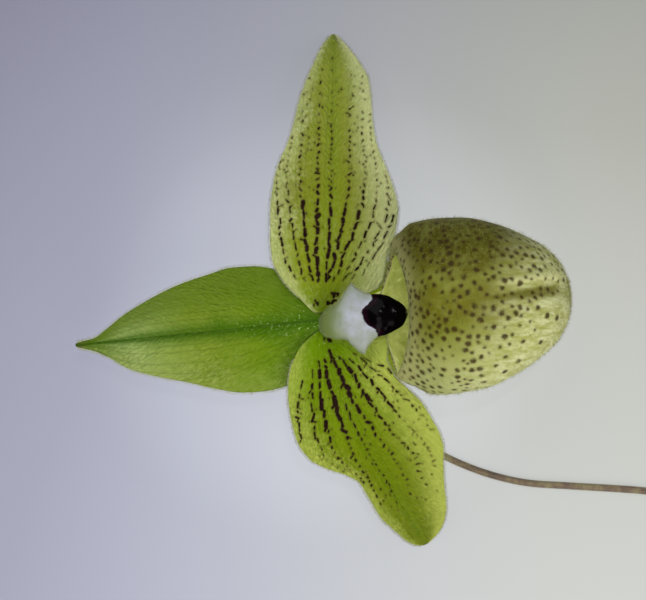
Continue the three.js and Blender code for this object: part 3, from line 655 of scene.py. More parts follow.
LEFT_ROWS = [
    ([(8.6, -0.68), (10, -0.71), (15, -0.86), (20, -0.91)], 0.5),
    ([(8, -0.43), (10, -0.47), (15, -0.58), (20, -0.67), (24, -0.73), (30, -0.88)], 0.6),
    ([(7, -0.26), (8, -0.29), (14, -0.39), (20, -0.45), (26, -0.6), (34, -0.85)], 0.9),
    ([(7, -0.12), (11, -0.18), (20, -0.19), (27, -0.3), (29, -0.4), (33, -0.58), (40, -0.75)], 1.0),
    ([(17, 0.0), (37, 0.0), (40, -0.09), (44, -0.25)], 0.75),
    ([(7, 0.06), (11, 0.11), (17, 0.14), (24, 0.21), (31, 0.27), (37, 0.3), (43, 0.2)], 1.0),
    ([(8, 0.27), (11, 0.31), (18, 0.37), (25, 0.4), (31, 0.51), (37, 0.57), (44, 0.7)], 0.9),
    ([(9, 0.42), (11, 0.47), (16, 0.6), (24, 0.63), (32, 0.76), (38, 0.86)], 0.6),
    ([(8.6, 0.64), (10, 0.68), (16, 0.8), (21, 0.84), (30, 0.93)], 0.5),
    ([(10, 0.72), (11, 0.76), (14, 0.97), (17, 0.98)], 0.45),
]
PETAL_NET = (0.11, 0.28, 0.46, 0.66, 0.86)
# The left petal's base has a rounded lobe on the pouch's side, which curls up beside the mouth.
LEFT_LOBE = [
    (1.8, 0, -2.5), (3, 0.9, -6.3), (4.4, 2.2, -8.2), (5.5, 5, -9.5), (6.4, 8, -10.2), (7.4, 9.3, -10.95),
    (8.5, 9.8, -11.6), (10, 9.5, -12.4), (11.5, 8.6, -13.1), (13, 8, -13.6), (15.2, 8, -14.3),
]
LEFT_LOBED = dict(PETAL_LEFT, edges=LEFT_LOBE + PETAL_LEFT["edges"][7:], curl=4.6)


def spotted_rows(shape, rng, rows, merged, faint):
    """Marks along the veins, as strokes. Up to merged millimetres from the hub they are long and nearly touch,
    and beyond faint millimetres only a few small dots are left. Some send a short hook to the side."""
    strokes = []
    for line, widest in rows:
        share_at, last = through(line), line[-1][0]
        s = line[0][0] + rng.uniform(0, 0.6)
        while s < last:
            crowded = float(1 - smooth(s, merged - 5, merged + 4))
            fading = float(smooth(s, faint, faint + 12))
            dash = crowded * rng.uniform(0.3, 1.5) + (1 - crowded) * rng.uniform(0, 0.45)
            gap = crowded * rng.uniform(0.5, 1.1) + (1 - crowded) * rng.uniform(0.7, 1.3) + fading * 1.6
            size = widest / 2 * (0.4 + 0.47 * crowded) * (1 - 0.4 * fading) * rng.uniform(0.6, 1.2)
            size *= 0.6 + 0.4 * float(smooth(s, line[0][0], line[0][0] + 2.5))
            share = float(share_at(s)) + rng.normal(0, 0.014)
            onward = float(share_at(min(last, s + dash))) + rng.normal(0, 0.014)
            if rng.random() > 0.5 * fading:
                first, then = reach_at(shape, s, share), reach_at(shape, s + dash, onward)
                strokes.append((s, first, s + dash, then, size))
                if rng.random() < 0.22 * crowded + 0.08:
                    turn = rng.choice((-1, 1)) * rng.uniform(0.4, 0.9)
                    strokes.append((s + dash, then, s + dash + rng.uniform(0.1, 0.7), then + turn, size * 0.6))
            s += dash + gap
    return strokes


def stray_dots(shape, rng, count, first, last):
    """Small single dots between the rows, as strokes of almost no length."""
    s, share = rng.uniform(first, last, count), rng.uniform(-0.93, 0.93, count)
    radii = rng.uniform(0.05, 0.16, count)
    outs = [reach_at(shape, a, b) for a, b in zip(s, share)]
    return [(a, out, a + 0.1, out, radius) for a, out, radius in zip(s, outs, radii)]


def hub_blotches(rng, places):
    """Clusters of small blotches near the hub, as strokes: four beads scattered round each place."""
    return [
        (a, b, a + rng.uniform(0.1, 0.4), b + rng.uniform(-0.2, 0.2), rng.uniform(0.14, 0.3))
        for s, out in places for a, b in zip(s + rng.normal(0, 0.35, 4), out + rng.normal(0, 0.35, 4))
    ]


def spotted_green(name, lengthwise, rim, rib, vein_tint, pale_side):
    """The finish of a petal: the green of a sepal, with the marks as purple-brown pigment that is darkest in
    their middles and fades into a brownish halo. One side of the petal, 1 for left and -1 for right, is paler."""
    material = waxy_green(name, lengthwise, rim, rib, vein_tint, 0.5, 0.42, 0.12, 0.12, 0.12)
    tree, shader, ground = so_far(material)
    place = next(n for n in tree.nodes if n.bl_idname == "ShaderNodeTexCoord").outputs["Object"]
    side = add(tree, "Attribute", attribute_name="side").outputs["Fac"]
    to_pale = add(tree, "Math", {0: side, 1: pale_side}, operation="MULTIPLY").outputs[0]
    ground = laid_over(tree, ground, to_pale, (0.2, 0.95), (0, 0.55), rim)
    mark = add(tree, "Attribute", attribute_name="mark").outputs["Fac"]
    ragged = add(tree, "TexNoise", {"Vector": place, "Scale": 1000 / 0.7, "Detail": 3.0}).outputs["Fac"]
    edge = add(tree, "Math", {0: ragged, 1: 0.4, 2: -0.2}, operation="MULTIPLY_ADD").outputs[0]
    edge = add(tree, "Math", {0: mark, 1: edge}, operation="ADD").outputs[0]
    ground = laid_over(tree, ground, edge, (-0.05, 0.45), (0.4, 0), "#4f4416")
    pigment = add(tree, "ValToRGB", {"Fac": ragged}, [(0.3, "#140805"), (0.7, "#2a160d")]).outputs["Color"]
    ground = laid_over(tree, ground, edge, (-0.12, 0.1), (1, 0), pigment)
    put(tree, shader, {"Base Color": ground, "Emission Color": ground})
    return material


# Petal skin: waxy tissue, olive on the right petal and a fresher green on the left one. Both give off a faint painted
# glow, carry a few painted highlights near the base, and have faint painted shade over the rib's crease.
right_skin = spotted_green(
    "petal skin, olive green with purple-brown marks",
    [(0.0, "#6f870a"), (0.12, "#7d8c12"), (0.4, "#747d1a"), (0.85, "#858f30"), (0.96, "#748028"), (1.0, "#3a2430")],
    "#c2c78c", "#6c820c", "#5f6e1a", -1,
)
left_skin = spotted_green(
    "petal skin, fresh green with purple-brown marks",
    [(0.0, "#648800"), (0.2, "#6b8600"), (0.5, "#6b7d02"), (0.85, "#67750a"), (1.0, "#646e10")],
    "#b0ba56", "#587200", "#4a6202", 1,
)
right_marks = hub_blotches(rng, [(3.4, 1.6), (5.2, -1.6), (4.6, -2.4), (3.3, -1.2), (3.6, -2.7)])
right_marks += spotted_rows(PETAL_RIGHT, rng, RIGHT_ROWS, 25, 36) + stray_dots(PETAL_RIGHT, rng, 90, 14, 50)
left_marks = hub_blotches(rng, [(6.2, 0.2), (7.6, 0.4), (4.2, 0.8)])
left_marks += spotted_rows(PETAL_LEFT, rng, LEFT_ROWS, 23, 34) + stray_dots(PETAL_LEFT, rng, 90, 12, 44)
blade(
    "right_petal_blade", PETAL_RIGHT, 260, 150, vein_net(PETAL_RIGHT, rng, PETAL_NET, 150), right_marks,
    right_skin, "petal", "petal_right", 3000,
)
blade(
    "left_petal_blade", LEFT_LOBED, 240, 150, vein_net(PETAL_LEFT, rng, PETAL_NET, 150), left_marks,
    left_skin, "petal", "petal_left", 3000,
)

# ---- lip ----
# The lip is one petal grown into an inflated pouch with an open mouth. A short claw holds it to the hub.
# Its wall is about 0.8 mm thick, waxy and downy, with soft brown dots on its outside.
LIP_HEADING = math.radians(7)
LIP_WALL = 0.8
LIP_STATIONS = [  # back, bend and front as (along, height)
    ((10.2, 2.2), (17.8, 4.2), (14.8, 19.3)),
    ((12.2, 0.2), (20.5, 5.5), (17.8, 24)),
    ((15, -1.2), (21, 11.5), (21.4, 27.1)),
    ((20, -1.8), (24, 13.4), (26.4, 28.8)),
    ((26.2, -1.7), (29.2, 13.6), (31.8, 28.9)),
    ((32.4, -0.6), (35, 13.6), (37, 27.7)),
    ((38.2, 1.6), (40.2, 13.4), (41.6, 25.2)),
    ((43, 4.8), (44.4, 13.3), (45, 21.7)),
    ((46.3, 8.6), (46.9, 13.1), (47.1, 17.7)),
    ((47.9, 12.3), (48, 13), (48, 13.7)),
]
LIP_HALF = [  # ring, half-widths to the left and to the right
    (0, 11.2, 12), (0.055, 13.1, 12.7), (0.111, 15.3, 14.6), (0.222, 16.5, 16.6), (0.333, 16.9, 17),
    (0.444, 16.4, 16.7), (0.556, 14.5, 14.9), (0.667, 11.7, 12.3), (0.778, 8.7, 9.3), (0.889, 5, 5.6), (1, 0.9, 0.9),
]
LIP_BOW = [(0, 2.1), (0.055, 3.5), (0.111, 2.6), (0.222, 0.5), (0.333, 0.3), (0.444, 0), (1, 0)]
FURROW = {"depth": 1.1, "width": 1.5, "left": 1.0}
MOUTH_SHAPE = [
    (0, 0), (0.08, 0.26), (0.16, 0.43), (0.3, 0.64), (0.45, 0.8), (0.58, 0.91), (0.68, 1), (0.77, 0.91), (0.86, 0.74),
    (0.94, 0.48), (1, 0),
]
MOUTH_SKEW = 0.087
CLAW_EDGES = [(4.1, 2.1), (8, 2.9), (12.3, 4.4)]
CLAW_LIFT = [(4.1, 0.25), (8, 0.6), (12.3, 1.5)]
CLAW_TROUGH = 0.07
POUCH_RINGS, POUCH_SECTORS = 170, 400
POUCH_DOWN = 12000  # number of hairs, less those that would stand on a dot


def station_curve(pick):
    """One measure of the pouch, as a curve from its mouth (0) to its toe (1)."""
    return through([(i / (len(LIP_STATIONS) - 1), pick(station)) for i, station in enumerate(LIP_STATIONS)])


def pouch_surface(ring, angle):
    """The outside of the pouch. A ring is a curve from its back over its bend to its front, (1-f)^2*back +
    2f(1-f)*bend + f^2*front, where f = (1-cos(angle))/2. Its width is |sin|^0.9, and near the mouth the
    outline of the mouth. A furrow runs over the toe, and the front of the mouth turns in."""
    f = (1 - np.cos(angle)) / 2

    def bowed(axis):
        back, bend, front = (station_curve(lambda s, k=k: s[k][axis])(ring) for k in range(3))
        return (1 - f) ** 2 * back + 2 * f * (1 - f) * bend + f**2 * front

    as_mouth = 1 - smooth(ring, 0, 0.24)
    width = np.abs(np.sin(angle)) ** 0.9 * (1 - as_mouth) + through(MOUTH_SHAPE)(f) * as_mouth
    is_left = np.sin(angle) >= 0
    half = np.where(is_left, through(LIP_HALF)(ring), through(LIP_HALF, 2)(ring))
    turned_in = np.maximum(0, 1 - ring / 0.09) ** 2 * smooth(f, 0.5, 0.8)
    left = np.where(is_left, 1, -1) * width * half * (1 - 0.06 * turned_in)
    along = bowed(0) - through(LIP_BOW)(ring) * width**2 + MOUTH_SKEW * left * as_mouth + 2 * turned_in
    height = bowed(1)
    across = (left - FURROW["left"]) / FURROW["width"]
    furrow = FURROW["depth"] * np.exp(-(across**2)) * smooth(along, 28, 42) * (1 - smooth(along, 44.5, 47.5))
    height = height - 0.5 * turned_in - furrow * smooth(f, 0.5, 0.9)
    return turned(LIP_HEADING, along, left, height)


def scattered(rng, points, spacing, tries):
    """Some of the points, drawn at random so that each keeps its own spacing from those drawn before it."""
    kept = np.zeros((0, 3))
    chosen = []
    for i in rng.integers(0, len(points), tries):
        if len(kept) == 0 or np.linalg.norm(kept - points[i], axis=1).min() > spacing[i]:
            kept = np.vstack([kept, points[i]])
            chosen.append(i)
    return np.array(chosen)


pouch_turn = (np.arange(POUCH_SECTORS) / POUCH_SECTORS * 2 * math.pi)[None, :]
pouch_angle = pouch_turn - 0.25 * np.sin(2 * pouch_turn)
pouch_step = np.linspace(0, 1, POUCH_RINGS)[:, None]
pouch_ring = 0.35 * pouch_step**2 + 0.65 * pouch_step
pouch_skin = pouch_surface(pouch_ring, pouch_angle)
pouch_along = pouch_skin[..., 0] * math.cos(LIP_HEADING) + pouch_skin[..., 1] * math.sin(LIP_HEADING)
pouch_left = pouch_skin[..., 1] * math.cos(LIP_HEADING) - pouch_skin[..., 0] * math.sin(LIP_HEADING)
on_front = smooth(pouch_skin[..., 2], 12, 18)
# Where the furrow's painted shade lies, and a ridge beside it that is raised in the wall and carries a painted
# highlight.
groove_width = 0.35 + 1.0 * smooth(pouch_along, 24, 44)
groove = np.exp(-(((pouch_left - FURROW["left"] + 0.4) / groove_width) ** 2))
groove *= on_front * smooth(pouch_along, 14, 42) * (1 - smooth(pouch_along, 42.5, 47.5))
ridge = np.exp(-(((pouch_left - FURROW["left"] - 2.2) / 1.1) ** 2)) * on_front * smooth(pouch_along, 26, 42)
pouch_skin[..., 2] += 0.6 * ridge * (1 - smooth(pouch_along, 45, 47.5))
pouch_normals = outward(pouch_skin)
pouch_normals[0] = pouch_normals[1]
pouch_normals[-1] = pouch_normals[-2]

# The wall: the inside lies one wall in from the outside, and both round off into the rim of the mouth.
rim_round = 1 - np.minimum(1, pouch_ring / 0.018) ** 0.5
outside = pouch_skin - pouch_normals * (LIP_WALL / 2 * rim_round)[..., None]
inside = pouch_skin - pouch_normals * (LIP_WALL * (1 - rim_round / 2))[..., None]
inner_rows = np.unique(np.concatenate([np.arange(1, 9), np.linspace(9, POUCH_RINGS - 6, 34).astype(int)]))[::-1]
wall = np.concatenate([inside[inner_rows], outside])
inner_count = len(inner_rows)

# Dots keep 0.6 to 1.9 mm apart. They are smallest and closest at the mouth, crowd together in patches, and
# thin out towards the toe.
flat_skin = pouch_skin.reshape(-1, 3)
flat_ring = (pouch_ring + 0 * pouch_angle).ravel()
toe_ward = smooth(flat_skin[:, 0] - 0.8 * flat_skin[:, 1], 35, 48)
crowding = np.sin(0.8 * flat_skin[:, 0] + 1.5 * np.sin(0.6 * flat_skin[:, 1])) * np.sin(0.7 * flat_skin[:, 1] + 1.0)
spacing = (0.9 + 0.5 * smooth(flat_ring, 0.0, 0.14)) * (1 + 0.35 * crowding) + 3.0 * toe_ward
dot_index = scattered(rng, flat_skin, spacing, 9000)
dot_index = dot_index[toe_ward[dot_index] < 0.85]
dot_place = flat_skin[dot_index]
dot_radius = (0.28 + 0.2 * smooth(flat_ring[dot_index], 0, 0.14)) * rng.uniform(0.45, 1.2, len(dot_index))
dot_field = np.full(len(flat_skin), 9.0)
for part in np.array_split(np.arange(len(dot_index)), 40):
    gap = np.linalg.norm(flat_skin[:, None] - dot_place[part], axis=2) - dot_radius[part]
    dot_field = np.minimum(dot_field, gap.min(axis=1))
dot_field = np.maximum(dot_field, -0.25).reshape(pouch_skin.shape[:2])
ring_field = np.concatenate([-pouch_ring[inner_rows] + 0 * pouch_angle, pouch_ring + 0 * pouch_angle])
crease_all = np.concatenate([np.zeros((inner_count, POUCH_SECTORS)), groove - ridge])
dot_all = np.concatenate([np.full((inner_count, POUCH_SECTORS), 2.0), dot_field])

# The claw: a short trough from the hub to the back of the mouth, sunk into the pouch's wall.
claw_along = np.linspace(CLAW_EDGES[0][0], CLAW_EDGES[-1][0], 30)[:, None]
claw_side = np.linspace(1, -1, 31)[None, :]
claw_across = claw_side * through(CLAW_EDGES)(claw_along)
claw_up = through(CLAW_LIFT)(claw_along) + CLAW_TROUGH * claw_across**2
claw_middle = turned(LIP_HEADING, claw_along, claw_across, claw_up)
claw_half = 0.38 * np.sqrt(np.maximum(0, 1 - claw_side**6)) + 0.01 + 0 * claw_along
wall_points, wall_faces = capped(wall)
claw_points, claw_faces = capped(leaf_section(claw_middle, surface_normals(claw_middle), claw_half))
lip_faces = wall_faces + [[i + len(wall_points) for i in face] for face in claw_faces]
ring_values = np.concatenate([ring_field.ravel(), np.full(2 + len(claw_points), -0.02)])
crease_values = np.concatenate([crease_all.ravel(), np.zeros(2 + len(claw_points))])
dot_values = np.concatenate([dot_all.ravel(), np.full(2 + len(claw_points), 2.0)])

# Pouch skin: satin, waxy tissue of a pale yellow-green, clouded with olive, with soft-edged brown dots. Painted shade
# darkens its top, its furrow and its inside, painted highlights lie on its ridge and towards the toe, and its inside
# gives off a painted glow.
pouch_wax, tree, shader, place = finish("pouch skin, satin yellow-green with brown dots")
names = ("ring", "dot", "crease")
ring_at, dot_at, crease_at = (add(tree, "Attribute", attribute_name=n).outputs["Fac"] for n in names)
cloud, frost, ragged, cells = (
    add(tree, "TexNoise", {"Vector": place, "Scale": 1000 / size, "Detail": detail, "Roughness": rough}).outputs["Fac"]
    for size, detail, rough in ((8, 4, 0.6), (1.6, 5, 0.75), (0.8, 2, 0.5), (0.5, 3, 0.5))
)
# Across the pouch the tint runs from pale at the bottom to dark olive at the top: partly its own olive bands and
# partly painted shade on the top and painted light below.
cross = add(tree, "VectorMath", {0: place, 1: (-0.1, 1.0, 0)}, operation="DOT_PRODUCT").outputs["Value"]
cross = add(tree, "Math", {0: cloud, 1: 0.012, 2: cross}, operation="MULTIPLY_ADD").outputs[0]
band_and_shade = add(tree, "MapRange", {0: cross, 1: -0.014, 2: 0.020}).outputs[0]
ground = add(tree, "ValToRGB", {"Fac": band_and_shade}, [
    (0.0, "#bac07e"), (0.24, "#9ca056"), (0.38, "#777b24"), (0.47, "#6a6814"), (0.56, "#6c6b16"), (0.65, "#797c2c"),
    (0.74, "#5a570c"), (0.86, "#474404"), (1.0, "#514e10"),
]).outputs["Color"]
frosted = add(tree, "MapRange", {0: frost, 1: 0.42, 2: 0.68, 3: 0.0, 4: 0.4}).outputs[0]
cloudy = add(tree, "MapRange", {0: cloud, 1: 0.35, 2: 0.6, 3: 0.2, 4: 1.0}).outputs[0]
frosted = add(tree, "Math", {0: frosted, 1: cloudy}, operation="MULTIPLY").outputs[0]
ground = add(tree, "Mix", {0: frosted, 6: ground, 7: linear("#989f50")}, data_type="RGBA").outputs[2]
# Pale streaks towards the toe and the lower side: a painted sheen.
toe_place = add(tree, "VectorMath", {0: place, 1: (1.0, -0.35, 0)}, operation="DOT_PRODUCT").outputs["Value"]
drawn_out = add(tree, "VectorMath", {0: place, 1: (1.0, 3.2, 1.0)}, operation="MULTIPLY").outputs[0]
brush = add(tree, "TexNoise", {"Vector": drawn_out, "Scale": 1000 / 3.5, "Detail": 5.0, "Roughness": 0.7})
painted_sheen = add(tree, "ValToRGB", {"Fac": brush.outputs["Fac"]}, [(0.38, "#aaad60"), (0.6, "#d8dba6")]).outputs["Color"]
ground = laid_over(tree, ground, toe_place, (0, 0.016), (0, 0.85), painted_sheen)
# Painted shade in the furrow over the toe, and a painted highlight along the ridge beside it.
ground = laid_over(tree, ground, crease_at, (0.05, 0.95), (0, 0.85), "#64620e")
ground = laid_over(tree, ground, crease_at, (-0.9, -0.2), (0.85, 0), "#c6c88e")
# Inside the pouch: a pale lining, painted darker deeper in as painted shade, which gives off a painted glow.
inner = add(tree, "MapRange", {0: ring_at, 1: -0.004, 2: 0.0, 3: 1.0, 4: 0.0})
lining_and_shade = laid_over(tree, linear("#7a842e"), ring_at, (-0.16, -0.01), (0, 1), "#ccd29a")
ground = add(tree, "Mix", {0: inner.outputs[0], 6: ground, 7: lining_and_shade}, data_type="RGBA").outputs[2]
ground = laid_over(tree, ground, ring_at, (0.004, 0.17), (0.85, 0), "#b4b27a")
edge = add(tree, "Math", {0: ragged, 1: 0.7, 2: -0.33}, operation="MULTIPLY_ADD").outputs[0]
edge = add(tree, "Math", {0: dot_at, 1: edge}, operation="ADD").outputs[0]
ground = laid_over(tree, ground, edge, (-0.1, 0.45), (0.55, 0), "#4e441a")
ground = laid_over(tree, ground, edge, (-0.24, 0.12), (0.85, 0), "#38270f")
# The inside's painted glow, mottled with pale painted glints of wet shine.
painted_light = add(tree, "ValToRGB", {"Fac": frost}, [(0.38, "#56611e"), (0.58, "#848d48"), (0.7, "#b4bc86")]).outputs["Color"]
painted_glow = add(tree, "Mix", {0: inner.outputs[0], 6: linear("#000000"), 7: painted_light}, data_type="RGBA").outputs[2]
rough = add(tree, "MapRange", {0: inner.outputs[0], 3: 0.5, 4: 0.25})
bump = add(tree, "Bump", {"Height": cells, "Strength": 0.3, "Distance": 0.0001})
put(tree, shader, {
    "Base Color": ground, "Emission Color": painted_glow, "Emission Strength": 0.7,
    "Normal": bump.outputs["Normal"], "Roughness": rough.outputs[0], "Specular IOR Level": 0.06,
    "Subsurface Weight": 0.4, "Subsurface Scale": 0.0012, "Subsurface Radius": (0.9, 1.0, 0.3),
})

grow(
    "pouch", np.vstack([wall_points, claw_points]), lip_faces, pouch_wax, "lip", ["lip"],
    {"ring": ring_values, "dot": dot_values, "crease": crease_values},
)
row, column = rng.integers(2, POUCH_RINGS - 3, POUCH_DOWN), rng.integers(0, POUCH_SECTORS, POUCH_DOWN)
bare = dot_field[row, column] > 0.15
row, column = row[bare], column[bare]
down_green, tree, shader, place = finish("pouch down, yellow-green")
put(tree, shader, {"Base Color": linear("#93964a"), "Roughness": 0.7})
down("pouch_down", rng, pouch_skin[row, column], pouch_normals[row, column], 0.7, 0.07, down_green, "lip")

# ---- column ----
# The column carries the flower's working parts: a waxy white neck, the stigma under its head, and a
# stalk to each side for an anther.
COLUMN_PATH = [(1.4, 0, -2.1), (1.5, -0.2, 0), (2.2, -0.5, 2.4), (3.7, 0.1, 4.9), (5.8, 0.6, 6.3)]
COLUMN_RADIUS = [(0, 1.1), (0.2, 1.25), (0.48, 1.5), (0.8, 1.5), (1, 1.3)]
STIGMA_PLACE, STIGMA_SIZE, STIGMA_TILT = (7.4, 0.7, 4.4), (2.5, 2.5, 1), math.radians(35)
FILAMENT_PLACE, FILAMENT_SIZE = (5.2, 1.75, 4.9), (0.9, 1.2, 0.8)
COLUMN_MIDDLE = 0.9  # the y of the middle between the two stalks, and between the two anthers


def bead(rows, columns, size, place, tilt=0.0):
    """A rounded lump: a ball with its three half-sizes, tilted about the flower's crosswise axis."""
    lean = np.linspace(0.02, math.pi - 0.02, rows)[:, None]
    turn = (np.arange(columns) / columns * 2 * math.pi)[None, :]
    ball = np.stack([np.sin(lean) * np.cos(turn), np.sin(lean) * np.sin(turn), -np.cos(lean) + 0 * turn], axis=-1)
    ball = ball * np.array(size)
    x = ball[..., 0] * math.cos(tilt) + ball[..., 2] * math.sin(tilt)
    z = ball[..., 2] * math.cos(tilt) - ball[..., 0] * math.sin(tilt)
    return np.stack([x, ball[..., 1], z], axis=-1) + np.array(place)


def joined(grids):
    """Several closed grids as the points and faces of one mesh."""
    points, faces = [], []
    for grid in grids:
        more_points, more_faces = capped(grid)
        first = sum(len(p) for p in points)
        points.append(more_points)
        faces += [[i + first for i in face] for face in more_faces]
    return np.vstack(points), faces


column_place, column_way = along_path(COLUMN_PATH, 60)
column_radius = through(COLUMN_RADIUS)
neck = tube(
    column_place, column_way, (0, 1, 0),
    lambda share, angle: column_radius(share) * (1 + 0.02 * np.sin(3 * angle)), 48,
)
stalks = [
    bead(24, 32, FILAMENT_SIZE, (FILAMENT_PLACE[0], COLUMN_MIDDLE + side * FILAMENT_PLACE[1], FILAMENT_PLACE[2]))
    for side in (1, -1)
]

# Column skin: waxy white tissue with a greenish neck.
column_wax, tree, shader, place = finish("column skin, waxy white and green")
height = add(tree, "SeparateXYZ", {0: place}).outputs["Z"]
up = add(tree, "MapRange", {0: height, 1: 0.016, 2: 0.023})
tint = add(tree, "ValToRGB", {"Fac": up.outputs[0]}, [(0.0, "#8fa238"), (0.5, "#b9c59a"), (1.0, "#d5d8cf")])
put(tree, shader, {
    "Base Color": tint.outputs["Color"], "Roughness": 0.35, "Subsurface Weight": 0.2, "Subsurface Scale": 0.001,
})
stigma = bead(24, 40, STIGMA_SIZE, STIGMA_PLACE, STIGMA_TILT)
grow("column_head", *joined([neck, stigma] + stalks), column_wax, "column", ["column"])

# ---- anthers ----
# An anther sits on each side of the column: a small mass of sticky, cream-yellow pollen.
ANTHER_PLACE, ANTHER_SIZE = (6.2, 4.1, 4.9), (1.3, 0.85, 0.85)
pollen, tree, shader, place = finish("pollen, sticky cream yellow")
grains = add(tree, "TexNoise", {"Vector": place, "Scale": 1000 / 0.4, "Detail": 3.0})
tint = add(tree, "ValToRGB", {"Fac": grains.outputs["Fac"]}, [(0.35, "#b89a4a"), (0.65, "#e0cb8a")])
bump = add(tree, "Bump", {"Height": grains.outputs["Fac"], "Strength": 0.6, "Distance": 0.0001})
put(tree, shader, {"Base Color": tint.outputs["Color"], "Normal": bump.outputs["Normal"], "Roughness": 0.3})
for name, side in (("anther_right", 1), ("anther_left", -1)):
    middle = (ANTHER_PLACE[0], COLUMN_MIDDLE + side * ANTHER_PLACE[1], ANTHER_PLACE[2])
    grow(name + "_pollen", *capped(bead(28, 36, ANTHER_SIZE, middle)), pollen, "pollen", [name])

# ---- staminode ----
# The staminode is a barren stamen grown into a domed shield over the column. It is waxy white, and its
# front half is glossy and almost black.
STAMINODE = {
    "heading": 0.0,
    "edges": [
        (-0.3, 0.2, -1.9), (0.8, 1.8, -2.9), (1.9, 2.5, -3.2), (2.9, 3.1, -3.3), (3.7, 4, -3.3), (4.6, 5.6, -3.4),
        (5.8, 6.9, -4.4), (7.2, 5.8, -5.8), (8.3, 5.3, -6.4), (9.1, 5.1, -4.7), (10.6, 5.2, -3.3),
        (12.6, 4.9, -2.7), (14.2, 4.1, -1.9), (15.6, 3.2, -1), (16.7, 1.9, 1),
    ],
    "rib": [(-0.3, -0.8), (2.6, 0.2), (16.7, 1.4)],
    "lift": [
        (-0.3, 2.6), (0.8, 5), (1.9, 6.8), (3.2, 8.3), (5, 9.3), (8, 10.2), (11, 10.8), (14, 10.6), (16.7, 9.7),
    ],
    "groove": (0, 1),
    "arch": 0.07,
    "wave": (0, 1, 0),
}
SHIELD_HALF = 0.65  # half its thickness
SHIELD_DOWN, SHIELD_FRINGE = 2600, 1500  # number of hairs on its white part and at the edge of it
SHIELD_LUMPS = [(12.0, 2.7), (14.6, 1.6), (12.3, -1.4), (10.6, 1.0), (9.0, -1.0)]
DARK_FROM = [(-3.1, 10.6), (-1.8, 10.7), (-0.66, 8.94), (0.15, 8.28), (1.78, 7.87), (3.69, 9.64), (5.4, 9.5)]

along, side, out, reach = flat_blade(STAMINODE, 120, 90)
middle = blade_surface(STAMINODE, along, side, out, reach)
normal = surface_normals(middle)
to_tip = (along - along.min()) / np.ptp(along)
end_round = np.sqrt(np.clip(np.minimum(to_tip, 1 - to_tip) * 16, 0.01, 1))
half = SHIELD_HALF * np.sqrt(np.maximum(0, 1 - np.abs(side) ** 4)) * end_round + 0.01
lumps = sum(0.16 * np.exp(-((middle[..., 0] - x) ** 2 + (middle[..., 1] - y) ** 2) / 0.5) for x, y in SHIELD_LUMPS)
hollow = -lumps + 0.35 * np.exp(-(((middle[..., 0] - 8) / 1.6) ** 2) - ((middle[..., 1] - 0.3) / 1.3) ** 2)
middle = middle - normal * hollow[..., None]
dark = middle[..., 0] - through(DARK_FROM)(middle[..., 1])

# Staminode skin: white wax, green at its neck, green-grey towards its edges, partly its own green and partly painted
# shade where it curves down, and a smooth lacquer-like gloss on the dark pigment.
shield_wax, tree, shader, place = finish("staminode skin, white wax and glossy maroon-black")
dark_at = add(tree, "Attribute", attribute_name="dark").outputs["Fac"]
ragged = add(tree, "TexNoise", {"Vector": place, "Scale": 1000 / 1.4, "Detail": 3.0}).outputs["Fac"]
edge = add(tree, "Math", {0: ragged, 1: 1.2, 2: -0.6}, operation="MULTIPLY_ADD").outputs[0]
edge = add(tree, "Math", {0: dark_at, 1: edge}, operation="ADD").outputs[0]
black = add(tree, "MapRange", {0: edge, 1: -0.15, 2: 0.15}, interpolation_type="SMOOTHSTEP").outputs[0]
cloud = add(tree, "TexNoise", {"Vector": place, "Scale": 1000 / 3, "Detail": 3.0}).outputs["Fac"]
white = add(tree, "ValToRGB", {"Fac": cloud}, [(0.3, "#a0a49e"), (0.7, "#bcbfd5")]).outputs["Color"]
margin_at = add(tree, "Attribute", attribute_name="side").outputs["Fac"]
to_edge = add(tree, "Math", {0: margin_at}, operation="ABSOLUTE").outputs[0]
# Green-grey towards the edges: partly its own colour and partly painted shade.
white = laid_over(tree, white, to_edge, (0.4, 1), (0, 0.7), "#8e9a70")
shield_x = add(tree, "SeparateXYZ", {0: place}).outputs["X"]
white = laid_over(tree, white, shield_x, (-0.0268, -0.0205), (0.95, 0), "#7f9140")
pigment = laid_over(tree, linear("#030102"), edge, (0.3, 1.6), (0.8, 0), "#1d0712")
skin = add(tree, "Mix", {0: black, 6: white, 7: pigment}, data_type="RGBA").outputs[2]
rough = add(tree, "MapRange", {0: black, 3: 0.5, 4: 0.14})
put(tree, shader, {"Base Color": skin, "Roughness": rough.outputs[0], "Specular IOR Level": 0.045})
grow(
    "staminode_shield", *capped(leaf_section(middle, normal, half)), shield_wax, "staminode", ["staminode"],
    {"dark": leaf_field(dark), "side": leaf_field(side)},
)
down_white, tree, shader, place = finish("shield down, white")
hair_x = add(tree, "SeparateXYZ", {0: place}).outputs["X"]
hair_tint = laid_over(tree, linear("#c3c7c0"), hair_x, (-0.0265, -0.0205), (0.9, 0), "#8a9b4c")
put(tree, shader, {"Base Color": hair_tint, "Roughness": 0.7})
row, column = np.nonzero(dark < 0)
pick = rng.integers(0, len(row), SHIELD_DOWN)
row, column = row[pick], column[pick]
roots = middle[row, column] + normal[row, column] * half[row, column, None]
down("shield_down", rng, roots, normal[row, column], 0.5, 0.05, down_white, "staminode")
row_at, side_at = np.nonzero(dark[:, [0, -1]] < -0.6)
pick = rng.integers(0, len(row_at), SHIELD_FRINGE)
row_at, column = row_at[pick], np.where(side_at[pick] == 0, 0, middle.shape[1] - 1)
beside = middle[row_at, column] - middle[row_at, np.where(column == 0, 2, middle.shape[1] - 3)]
down("shield_fringe", rng, middle[row_at, column], unit(beside), 0.5, 0.06, down_white, "staminode")

